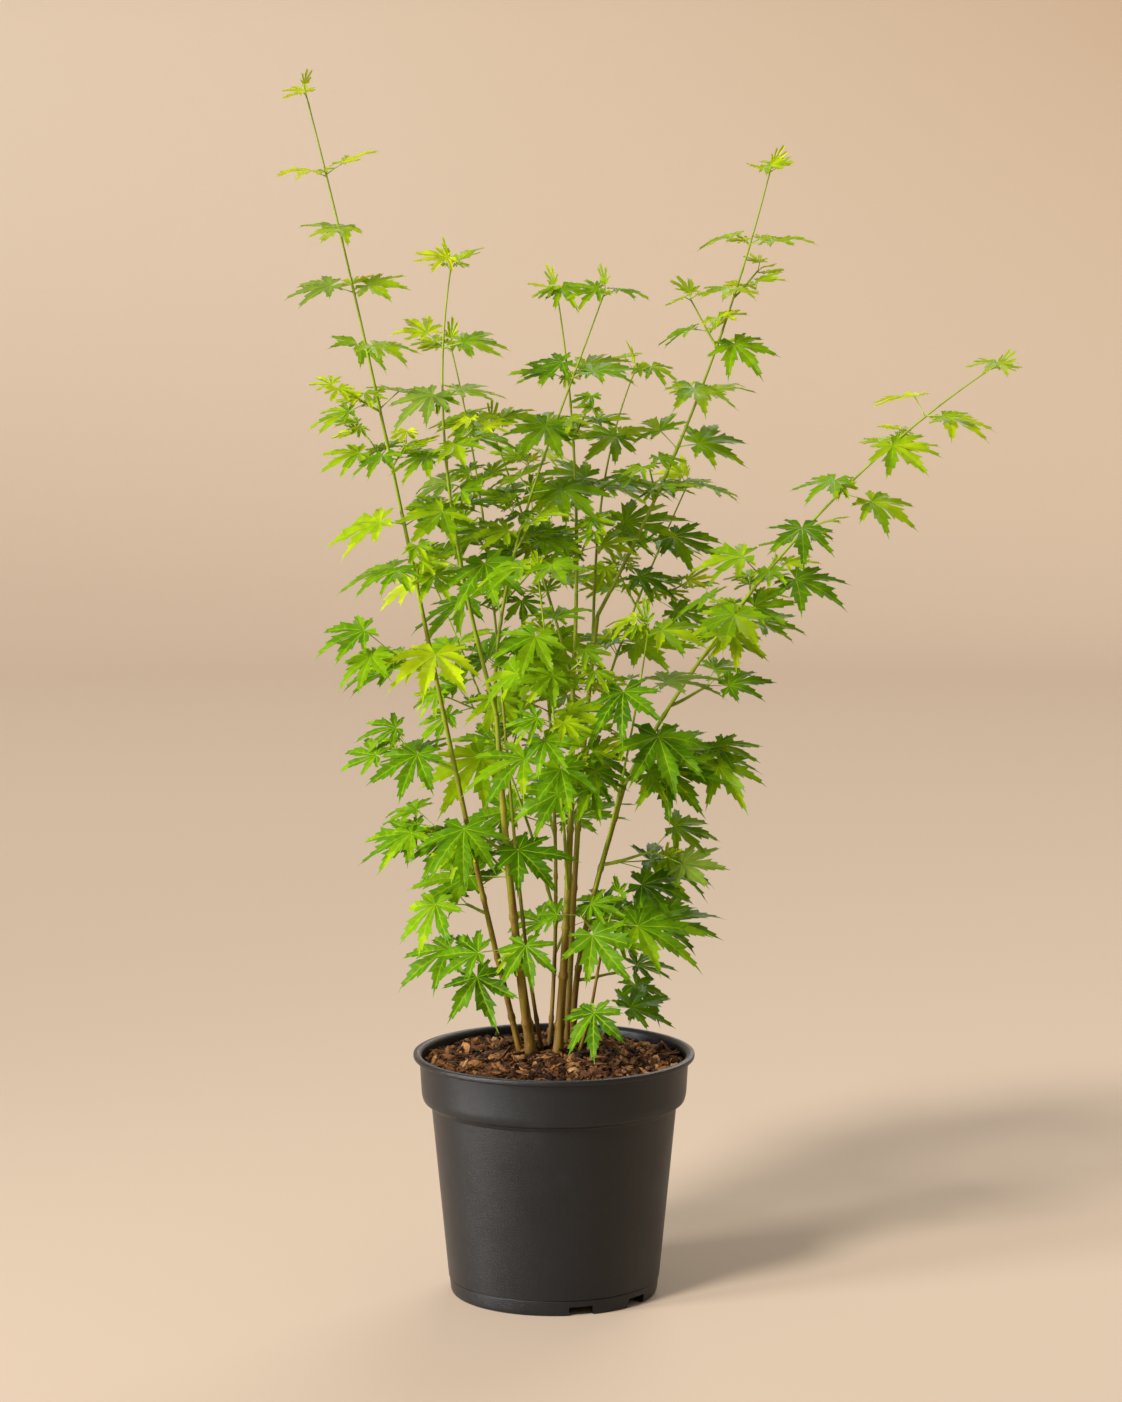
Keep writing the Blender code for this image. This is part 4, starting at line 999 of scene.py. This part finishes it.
def blade_lobe(leaf, angle, length, rooms, form, rng):
    """One lobe: vertices, faces, whether each face is rib, body or tip, and how near each point is a vein."""
    fold, sinus, width, droop, twist = form
    base = leaf.petiole[-1]
    teeth = max(2, min(9, int(round(length * (TOOTHED_TO - sinus) / TOOTH_PITCH))))
    pitch = length * (TOOTHED_TO - sinus) / teeth
    sideways = leaf.normal.cross(leaf.forward)
    along = leaf.forward * math.cos(angle) + sideways * math.sin(angle)
    across = leaf.normal.cross(along)
    sag = rng.uniform(*LOBE_SAG)
    bend = rng.uniform(-LOBE_BEND, LOBE_BEND) + LOBE_SPLAY * math.sin(angle)
    wave = rng.uniform(0, 2 * math.pi)
    verts, veins = [base], [1.0]
    rows = lobe_rows(teeth, sinus)
    for s, tooth in rows:
        free = max(0.0, s - sinus)
        for column in LOBE_COLUMNS:
            out = abs(column)
            sign, start = (1, 3) if column > 0 else (-1, 0)
            edge = length * lobe_half_width(s, sinus, width, rooms[0] if column > 0 else rooms[1])
            reach = edge * out
            ahead = s * length - VEIN_SLANT * (1 - out) * edge * min(1.0, s * 3)
            lift = 0.0
            if out < RIB_COLUMN:
                reach = min(RIB_HALF_WIDTH * (1.15 - s) * (0.5 + length / 0.1), edge * 0.5)
            elif out < 1.0:
                relief = math.copysign(min(1.0, abs(tooth) + 0.3), tooth) if tooth else 0.0
                lift -= VEIN_GROOVE * relief * min(1.0, 2.2 * out)
            elif tooth > 0:
                reach *= 1 + TOOTH_OUT * tooth * rng.uniform(0.8, 1.2)
                ahead += TOOTH_AHEAD * pitch * (0.4 + 0.6 * tooth)
            elif tooth < 0:
                reach *= 1 + TOOTH_IN * tooth
                ahead -= TOOTH_BACK * pitch
            rho = math.hypot(ahead, reach) / leaf.radius
            lift += leaf.radius * (ARCH * rho * (1 - rho) - droop * rho * rho - sag * free * rho)
            lift -= leaf.radius * TIP_HOOK * max(0.0, s - TIP_HOOK_FROM) ** 2
            lift += reach * (fold + twist * sign * free)
            if free:
                lift += LOBE_WAVE * reach * math.sin(wave + 8 * s + start) * min(1.0, free * 5)
            shift = bend * length * free * free
            place = base + along * ahead + across * (sign * reach + shift)
            lift += CRUMPLE * noise.noise(place * CRUMPLE_SCALE) * min(1.0, s * 4)
            verts.append(place + leaf.normal * lift)
            veins.append(1.0 if out < RIB_COLUMN else clamp(2 * tooth) * (1.0 if out < 1 else 0.6))
    count = len(LOBE_COLUMNS)
    faces = [(0, 1 + c, 2 + c) for c in range(count - 1)]
    kinds = ["body"] * (count - 1)
    for r, (s, _) in enumerate(rows[:-1]):
        a = 1 + r * count
        faces += [(a + c, a + c + count, a + c + count + 1, a + c + 1) for c in range(count - 1)]
        kinds += ["tip" if s > TIP_SHADE_FROM else "body"] * (count - 1)
    kinds[count // 2 - 1::count - 1] = ["rib"] * len(rows)
    return verts, faces, kinds, veins


def lobes_of(leaf, youth, rng):
    """A leaf's lobes as (angle, length), a little different on each leaf and half closed on young ones."""
    plan = LOBES_LARGE if leaf.radius >= LARGE_LEAF else sorted(LOBES_SMALL + BASAL_LOBES)
    if youth > 0.95:
        plan = TIP_LOBES
    spread = rng.uniform(*LOBES_SPREAD) * (1 - YOUNG_CLOSING * youth)
    ends = abs(plan[0][0])
    lobes = []
    for angle, share in plan:
        aim = angle * spread * (BASAL_TURN if abs(angle) == ends else 1) + rng.uniform(-LOBE_TURN, LOBE_TURN)
        lobes.append((math.radians(aim), leaf.radius * share * rng.uniform(*LOBE_REACH)))
    return lobes


def add_blade(heap, leaf, youth, shade, turned_over, rng):
    """A whole blade. shade is where it stands between the deepest and the brightest colour."""
    lobes = lobes_of(leaf, youth, rng)
    fold = mix(*FOLD, youth) + rng.uniform(*FOLD_SPREAD)
    web = rng.uniform(*WEB_SHARE) * leaf.radius
    width = LOBE_HALF_WIDTH * rng.uniform(*WIDTH_SPREAD) * (1 - YOUNG_SLIMMING * youth)
    droop = DROOP * (1 - youth) - TIP_CUP * youth ** 2 + rng.uniform(*DROOP_SPREAD)
    bright = rng.random() < SHADE_STEP_CHANCE
    for k, (angle, length) in enumerate(lobes):
        right = (angle - lobes[k - 1][0]) / 2 if k else END_LOBE_ROOM
        left = (lobes[k + 1][0] - angle) / 2 if k + 1 < len(lobes) else END_LOBE_ROOM
        rooms = (math.tan(max(left, LEAST_ROOM)), math.tan(max(right, LEAST_ROOM)))
        broad = 1.0 if length > SHORT_LOBE * leaf.radius else SHORT_LOBE_BREADTH
        form = (fold, min(0.5, web / length), width * broad, droop, rng.uniform(-LOBE_TWIST, LOBE_TWIST))
        verts, faces, kinds, veins = blade_lobe(leaf, angle, length, rooms, form, rng)
        body = shade + rng.gauss(0, LOBE_SCATTER) + (LOBE_STEP if bright and k % 2 else 0.0)
        slots = {"rib": RIB_SLOT, "body": shade_slot(body), "tip": shade_slot(body + mix(*TIP_STEP, youth))}
        if turned_over:
            slots["body"] = slots["tip"] = UNDERSIDE_SLOT
        heap.add(verts, faces, [slots[kind] for kind in kinds], veins)


def shade_slot(shade):
    """The material slot of a shade from 0, the deepest, to 1, the brightest."""
    return max(0, min(len(LEAF_SHADES) - 1, int(shade * len(LEAF_SHADES))))


def shade_of(leaf, youth, rng):
    """How bright a leaf is: painted light high up and in the open, painted shade deep in the crown, paler
    high up and when young as its own tone, and here and there by chance.
    """
    place = leaf.petiole[-1]
    height = clamp((place.z - SHADE_FOOT_Z) / SHADE_RISE)
    outer = min(1.0, math.hypot(place.x - 0.02, place.y) / SHADE_REACH)
    # Height and an open place add painted light; leaves deep in the crown stay darker as painted shade.
    shade = (SHADE_LEAST + TONE_AND_PAINTED_LIGHT_OF_HEIGHT * height ** 1.6 + PAINTED_LIGHT_OF_OPEN * outer + SHADE_OF_YOUTH * youth
             + rng.gauss(0, SHADE_SCATTER))
    if rng.random() < BRIGHT_CHANCE:
        shade += BRIGHT_STEP
    return max(0.02, min(0.98, shade))


def grow_young(space, masses):
    """Young leaves in the axils of each mass, clear of all that the plan has placed."""
    young = {}
    for name, mass in masses.items():
        rng = random.Random(name + "_young")
        young[name] = []
        for leaf in mass.leaves:
            if rng.random() > YOUNG_CHANCE:
                continue
            root = leaf.petiole[0]
            axis = tangent(mass.path, min(nearest_share(mass.path, root), 0.99))
            size = leaf.radius * rng.uniform(*YOUNG_SHARE)
            young[name].append(try_leaf(space, name, root, axis, rng.uniform(0, 360), YOUNG_CLIMB, size, rng))
    return young


def nearest_share(path, point):
    """The fraction of a path that comes nearest to a point."""
    return min((k / 60 for k in range(61)), key=lambda t: (path(t) - point).length_squared)


def add_stalk(heap, leaf, slot):
    """A leaf's stalk: slim, bowed a little, and thicker at its foot."""
    root, end = leaf.petiole[0], leaf.petiole[-1]
    length = (end - root).length
    middle = leaf.petiole[1] if len(leaf.petiole) > 2 else root.lerp(end, 0.5) + UP * (length * STALK_BOW)
    thick = min(STALK_THICKEST, max(STALK_THINNEST, leaf.radius * STALK_THICKNESS))
    rings = max(4, int(length / STALK_STEP) + 2)
    ts = [k / (rings - 1) for k in range(rings)]
    radii = [thick * (0.78 + 0.55 * math.exp(-t * length / STALK_FLARE) + 0.15 * t ** 6) for t in ts]
    heap.add(*sweep([arc(root, middle, end, t) for t in ts], radii, STALK_SIDES), slot)


# -------- Stems and shoots --------

def bark_tube(heap, path, t0, t1, radius, nodes, sides, step, relief, seed, slot=0):
    """A limb with its bark: swollen at the nodes, ribbed lengthwise and a little uneven."""
    length = path_length(path)
    count = max(3, int(length * (t1 - t0) / step) + 1)
    verts = []
    side = tangent(path, t0).orthogonal().normalized()
    shift = Vector((seed * 7.31, seed * 3.77, seed * 1.93))
    for k in range(count):
        t = mix(t0, t1, k / (count - 1))
        axis = tangent(path, max(0.004, min(t, 0.995)))
        side = square_to(axis, side)
        across = axis.cross(side)
        here = t * length
        swell = sum(math.exp(-((here - node) / NODE_LENGTH) ** 2) for node in nodes)
        line = sum(math.exp(-((here - node + NODE_RING_AT) / NODE_RING_WIDTH) ** 2) for node in nodes)
        base = BARK_SLIM * radius(t) * (1 + NODE_SWELL * min(1.0, swell) + NODE_RING * line)
        for angle in round_angles(sides):
            out = side * math.cos(angle) + across * math.sin(angle)
            spot = Vector((math.cos(angle) * 1.3, math.sin(angle) * 1.3, here * 28)) + shift
            ridges = noise.noise(spot) * 0.6 + noise.noise(spot * 2.7) * 0.4
            verts.append(path(t) + out * base * (1 + relief * ridges))
    heap.add(verts, tube_faces(count, sides), slot)


def cane_radius(limb, limb_radius_at):
    """A cane's radius from its foot to its growing tip."""
    if limb.bare >= 1.0:
        return limb_radius_at
    join = limb_radius_at(limb.bare)

    def radius(t):
        if t <= limb.bare:
            return limb_radius_at(t)
        return mix(join, CANE_TIP_RADIUS, ((t - limb.bare) / (1 - limb.bare)) ** 0.9)
    return radius


def leaf_nodes(mass):
    """How far along its shoot each pair of leaves stands."""
    length = path_length(mass.path)
    return sorted({round(nearest_share(mass.path, leaf.petiole[0]) * length, 4) for leaf in mass.leaves})


def build_canes(paths, radii, masses):
    """Every stem and bough in bark, and every leafy shoot's green axis."""
    stems, shoots = Heap(), Heap()
    green = (SHOOT_SIDES, SHOOT_STEP, SHOOT_RELIEF)
    for seed, (name, limb) in enumerate(LIMBS.items()):
        path = paths[name]
        radius = cane_radius(limb, radii[name])
        spacing = NODE_SPACING * mix(*NODE_SPREAD, random.Random(name).random())
        nodes = [spacing * (k + 0.6) for k in range(int(path_length(path) * limb.bare / spacing))]
        bark_tube(stems, path, 0.0, limb.bare, radius, nodes, BARK_SIDES, BARK_STEP, BARK_RELIEF, seed,
                  1 if limb.parent else 0)
        if limb.bare < 1.0:
            nodes = leaf_nodes(masses[name + "_leaves"])
            bark_tube(shoots, path, limb.bare - SHOOT_OVERLAP, 1.0, radius, nodes, *green, seed)
    for seed, name in enumerate(SIDES):
        bark_tube(shoots, masses[name].path, 0.0, 1.0, lambda t: TWIG_ROOT_RADIUS * mix(*TWIG_TAPER, t),
                  leaf_nodes(masses[name]), *green, 50 + seed)
    for mass in masses.values():
        for k, twig in enumerate(mass.twigs):
            bark_tube(shoots, twig, 0.0, 1.0, lambda t: TWIGLET_RADIUS * mix(*TWIGLET_TAPER, t), [],
                      TWIGLET_SIDES, SHOOT_STEP, TWIGLET_RELIEF, 90 + k)
    return stems, shoots


# -------- Compost and pot --------

def soil_point(radius, angle):
    """A point on the compost: level at the wall, mounded towards the stems, and lumpy."""
    x, y = radius * math.cos(angle), radius * math.sin(angle)
    mound = clamp((COLLAR_TOP_RADIUS - radius) / (COLLAR_TOP_RADIUS - SOIL_FLAT_RADIUS)) ** 0.8
    lumps = sum(noise.noise(Vector((x * fine, y * fine, seed))) * height for fine, height, seed in BED_LUMPS)
    return Vector((x, y, mix(SOIL_EDGE_Z, SOIL_TOP_Z, mound) + lumps))


def bark_lump(ball, size, rng):
    """A crumb or a chip of bark round its own centre: a roughened ball, flattened or split."""
    shape = Vector((1.0, *(rng.uniform(*span) for span in CHIP_SHAPE)))
    if rng.random() < SPLINTER_CHANCE:
        shape = Vector((1.5, *(rng.uniform(*span) for span in SPLINTER_SHAPE)))
    turn = (Matrix.Rotation(rng.uniform(0, 6.28), 3, "Z") @ Matrix.Rotation(rng.gauss(0, CHIP_TILT), 3, "X")
            @ Matrix.Rotation(rng.gauss(0, CHIP_ROLL), 3, "Y"))
    seed = Vector([rng.uniform(0, 99) for _ in "xyz"])
    lump = []
    for p in ball:
        rough = 1 + 0.65 * noise.noise(p * 1.4 + seed) + 0.45 * noise.noise(p * 3.3 + seed)
        lump.append(turn @ (p * shape) * (size * rough))
    return lump


def build_compost():
    """A lumpy bed with crumbs and chips of bark heaped on it."""
    heap = Heap()
    edge = COLLAR_TOP_RADIUS - WALL - 0.6 * MM
    sunk = UP * (1 * MM)
    verts = [soil_point(0, 0) - sunk]
    verts += [soil_point(edge * r / BED_RINGS, angle) - sunk
              for r in range(1, BED_RINGS + 1) for angle in round_angles(BED_SPOKES)]
    pairs = [(1 + j, 1 + (j + 1) % BED_SPOKES) for j in range(BED_SPOKES)]
    faces = [(0, a, b) for a, b in pairs]
    for first in range(0, (BED_RINGS - 1) * BED_SPOKES, BED_SPOKES):
        faces += [(first + a, first + a + BED_SPOKES, first + b + BED_SPOKES, first + b) for a, b in pairs]
    heap.add(verts, faces)
    rng = random.Random("compost")
    for count, sizes, cuts in ((CRUMB_COUNT, CRUMB_SIZE, 1), (CHIP_COUNT, CHIP_SIZE, 2)):
        solid = bmesh.new()
        bmesh.ops.create_icosphere(solid, subdivisions=cuts, radius=1.0)
        ball = [v.co.copy() for v in solid.verts]
        shell = [tuple(v.index for v in face.verts) for face in solid.faces]
        solid.free()
        for _ in range(count):
            size = rng.uniform(*sizes)
            away = (edge - size) * math.sqrt(rng.random())
            place = soil_point(away, rng.uniform(0, 2 * math.pi))
            lump = bark_lump(ball, size, rng)
            place.z += size * rng.uniform(*CHIP_LIFT)
            shade = min(len(COMPOST_SHADES) - 1, max(0, int(rng.gauss(1.75, 1.05))))
            heap.add([place + v for v in lump], shell, shade)
    return heap


def rounded(profile, steps=4):
    """A profile of (radius, z, fillet) with each corner turned into an arc."""
    out = []
    for k, (r, z, fillet) in enumerate(profile):
        corner = Vector((r, z))
        if fillet == 0 or k in (0, len(profile) - 1):
            out.append((r, z))
            continue
        before = Vector(profile[k - 1][:2]) - corner
        after = Vector(profile[k + 1][:2]) - corner
        reach = min(fillet, before.length * 0.49, after.length * 0.49)
        start, end = corner + before.normalized() * reach, corner + after.normalized() * reach
        out += [tuple(arc(start, corner, end, i / steps)) for i in range(steps + 1)]
    return out


def fine_pot_profile():
    """The pot's section with its bead, its rounded collar and its fine groove over the foot."""
    foot_inner = FOOT_RADIUS - FOOT_RING_WIDTH
    slope = (BODY_TOP_RADIUS - BODY_FOOT_RADIUS) / (BODY_TOP_Z - FOOT_RING_TOP_Z)

    def body(z):
        return BODY_FOOT_RADIUS + slope * (z - FOOT_RING_TOP_Z)
    return rounded([
        (0, 0, 0),
        (CENTRE_PAD_RADIUS, 0, 0.6 * MM),
        (CENTRE_PAD_RADIUS + 2 * MM, FLOOR_CHANNEL_Z, 0.6 * MM),
        (foot_inner - 2 * MM, FLOOR_CHANNEL_Z, 0.6 * MM),
        (foot_inner, 0, 0.6 * MM),
        (FOOT_RADIUS - 0.6 * MM, 0, 1.6 * MM),
        (FOOT_RADIUS + 0.3 * MM, 3 * MM, 1.2 * MM),
        (body(GROOVE_Z) - 0.6 * MM, GROOVE_Z - 0.5 * MM, 0.2 * MM),
        (body(GROOVE_Z) - 0.6 * MM - GROOVE_DEPTH, GROOVE_Z, 0.15 * MM),
        (body(GROOVE_Z), GROOVE_Z + 0.5 * MM, 0.3 * MM),
        (BODY_TOP_RADIUS - 0.15 * MM, BODY_TOP_Z - 1 * MM, 0.3 * MM),
        (BODY_TOP_RADIUS + 0.9 * MM, BODY_TOP_Z, 0.4 * MM),
        (BODY_TOP_RADIUS + 2.2 * MM, BODY_TOP_Z + 2.2 * MM, 1.2 * MM),
        (COLLAR_BOTTOM_RADIUS - 1.5 * MM, COLLAR_BOTTOM_Z - 1.6 * MM, 3.4 * MM),
        (COLLAR_BOTTOM_RADIUS + 0.1 * MM, COLLAR_BOTTOM_Z + 4 * MM, 4.0 * MM),
        (COLLAR_TOP_RADIUS, POT_HEIGHT - RIM_BEAD_HEIGHT - 0.9 * MM, 0.6 * MM),
        (RIM_RADIUS - 1.3 * MM, POT_HEIGHT - RIM_BEAD_HEIGHT - 0.5 * MM, 0.5 * MM),
        (RIM_RADIUS - 0.1 * MM, POT_HEIGHT - RIM_BEAD_HEIGHT + 0.7 * MM, 0.6 * MM),
        (RIM_RADIUS, POT_HEIGHT - 0.6 * MM, 1.2 * MM),
        (COLLAR_TOP_RADIUS + 0.8 * MM, POT_HEIGHT, 1.6 * MM),
        (COLLAR_TOP_RADIUS - WALL, POT_HEIGHT - 2.5 * MM, 1.2 * MM),
        (COLLAR_BOTTOM_RADIUS - WALL, COLLAR_BOTTOM_Z + WALL, 2.0 * MM),
        (BODY_TOP_RADIUS - WALL, BODY_TOP_Z + WALL, 1.0 * MM),
        (BODY_FOOT_RADIUS - WALL, FOOT_RING_TOP_Z, 1.0 * MM),
        (foot_inner - 1 * MM, FLOOR_TOP_Z, 1.0 * MM),
        (0, FLOOR_TOP_Z, 0),
    ])


def notch_cutter(out):
    """A block that cuts one drain notch at the foot of the pot; out is its direction."""
    across = UP.cross(out)
    centre = out * (FOOT_RADIUS - FOOT_RING_WIDTH / 2)
    box = Heap()
    box.add([centre + out * (NOTCH_DEPTH / 2 * a) + across * ((NOTCH_WIDTH / 2 - lean) * b) + UP * z
             for z, lean in ((-NOTCH_HEIGHT, -0.4 * MM), (NOTCH_HEIGHT, 1.4 * MM))
             for a, b in ((-1, -1), (1, -1), (1, 1), (-1, 1))],
            [(3, 2, 1, 0), (4, 5, 6, 7), (0, 1, 5, 4), (1, 2, 6, 5), (2, 3, 7, 6), (3, 0, 4, 7)])
    return box.piece("notch_cutter", [])


def build_pot():
    """The pot, turned finely, with its drain notches cut."""
    heap = Heap()
    heap.add(*turned(fine_pot_profile(), POT_FINE_SEGMENTS))
    pot = heap.piece("nursery_pot", [pot_material()], POT_SHARP_ANGLE)
    work = bmesh.new()
    work.from_mesh(pot.data)
    bmesh.ops.recalc_face_normals(work, faces=work.faces)
    work.to_mesh(pot.data)
    work.free()
    for first in NOTCH_PAIR_ANGLES:
        for step in (0, NOTCH_PAIR_STEP):
            cutter = notch_cutter(compass(first + step))
            cut = pot.modifiers.new("notch", "BOOLEAN")
            cut.operation = "DIFFERENCE"
            cut.solver = "EXACT"
            cut.object = cutter
            graph = bpy.context.evaluated_depsgraph_get()
            mesh = bpy.data.meshes.new_from_object(pot.evaluated_get(graph))
            pot.modifiers.clear()
            pot.data = mesh
            bpy.data.objects.remove(cutter)
    pot.data.shade_smooth()
    pot.data.set_sharp_from_angle(angle=math.radians(POT_SHARP_ANGLE))
    return pot


# -------- The object --------

def dress(piece, slot, *nodes):
    """Set a piece on the object in place of some CAD nodes."""
    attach(piece, "root")
    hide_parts(*nodes)


def build_foliage(masses, young):
    """The blades of each floor and all the stalks."""
    blades = [Heap() for _ in LEAF_FLOORS]
    stalks = Heap()
    for name, mass in masses.items():
        rng = random.Random(name + "_blades")
        grown = [(leaf, 0.0) for leaf in mass.leaves] + [(leaf, YOUNG_YOUTH) for leaf in young[name] if leaf]
        if mass.tufted:
            grown[len(mass.leaves) - 1] = (mass.leaves[-1], 1.0)
        for leaf, youth in grown:
            youth = max(youth, SMALL_LEAF_YOUTH * clamp((SMALL_LEAF - leaf.radius) / SMALL_LEAF_RANGE))
            shade = shade_of(leaf, youth, rng)
            turned_over = not youth and rng.random() < TURNED_CHANCE
            floor = sum(leaf.petiole[-1].z > z for z in LEAF_FLOORS.values()) - 1
            add_blade(blades[floor], leaf, youth, shade, turned_over, rng)
            add_stalk(stalks, leaf, 1 if rng.random() < RED_STALK_CHANCE else 0)
    return blades, stalks


def dress_plant():
    """Make the plant's pieces, each kind apart."""
    paths, radii, space, masses = plan_plant()
    blades, stalks = build_foliage(masses, grow_young(space, masses))
    stems, shoots = build_canes(paths, radii, masses)
    leafy = [name + "_leaves" for name, limb in LIMBS.items() if limb.bare < 1.0] + list(SIDES)
    leaf_looks = [leaf_material(name, colour) for name, colour in LEAF_SHADES]
    leaf_looks.append(leaf_material("leaf_pale_underside", PALE_UNDERSIDE, roughness=0.55))
    leaf_looks.append(leaf_material("leaf_rib", RIB_COLOUR, roughness=0.45))
    for name, heap in zip(LEAF_FLOORS, blades):
        dress(heap.piece(name, leaf_looks), "leaves", *leafy)
    stalk_looks = [bark_material(name, *colours, roughness=0.5) for name, colours in STALK_BARKS.items()]
    dress(stalks.piece("leaf_stalks", stalk_looks), "leaves", *leafy)
    shoot_looks = [bark_material("shoot_bark", *SHOOT_BARK, roughness=0.46)]
    dress(shoots.piece("shoots", shoot_looks), "green_wood", *leafy)
    stem_looks = [bark_material("stem_bark_fine", *STEM_BARK, roughness=0.55, rise=GREENING),
                  bark_material("bough_bark_fine", *BOUGH_BARK, roughness=0.50)]
    dress(stems.piece("stems", stem_looks), "stem_bark", *LIMBS)


def dress_pot():
    """Make the pot and the compost."""
    dress(build_pot(), "pot_plastic", "pot")
    looks = [compost_material(name, colour) for name, colour in COMPOST_SHADES]
    dress(build_compost().piece("bark_compost", looks, COMPOST_SHARP_ANGLE), "compost", "soil")


# -------- The studio --------

def set_up(name, data, place, turn):
    """Put a lamp or a camera in the scene."""
    thing = bpy.data.objects.new(name, data)
    thing.location = place
    thing.rotation_euler = turn
    bpy.context.scene.collection.objects.link(thing)
    return thing


def build_studio():
    """A pale round studio that rises softly all round, plain lamps and the camera."""
    rise = [(STUDIO_RADIUS - STUDIO_COVE + STUDIO_COVE * math.sin(a), STUDIO_COVE - STUDIO_COVE * math.cos(a))
            for a in (math.radians(90 * k / COVE_STEPS) for k in range(COVE_STEPS + 1))]
    profile = [(0.0, 0.0), (STUDIO_MIDDLE, 0.0), *rise, (STUDIO_RADIUS, STUDIO_HEIGHT)]
    heap = Heap()
    heap.add(*turned(profile, STUDIO_SEGMENTS))
    heap.piece("studio_floor", [studio_material()])

    world = bpy.data.worlds.new("studio")
    world.use_nodes = True
    backdrop = world.node_tree.nodes["Background"]
    backdrop.inputs["Color"].default_value = (*SKY_COLOUR, 1)
    backdrop.inputs["Strength"].default_value = SKY_STRENGTH
    bpy.context.scene.world = world
    bpy.context.scene.view_settings.view_transform = "Standard"

    for name, (kind, place, aim, settings) in LAMPS.items():
        lamp = bpy.data.lights.new(name, kind)
        for setting, value in settings.items():
            setattr(lamp, setting, value)
        set_up(name, lamp, place, (Vector(place) - Vector(aim)).to_track_quat("Z", "Y").to_euler())

    lens = bpy.data.cameras.new("camera")
    lens.lens = CAMERA_LENS
    lens.sensor_width = CAMERA_FILM
    lens.sensor_fit = "AUTO"
    bpy.context.scene.camera = set_up("camera", lens, CAMERA_PLACE, (math.radians(CAMERA_TILT), 0, 0))


dress_plant()
dress_pot()
build_studio()
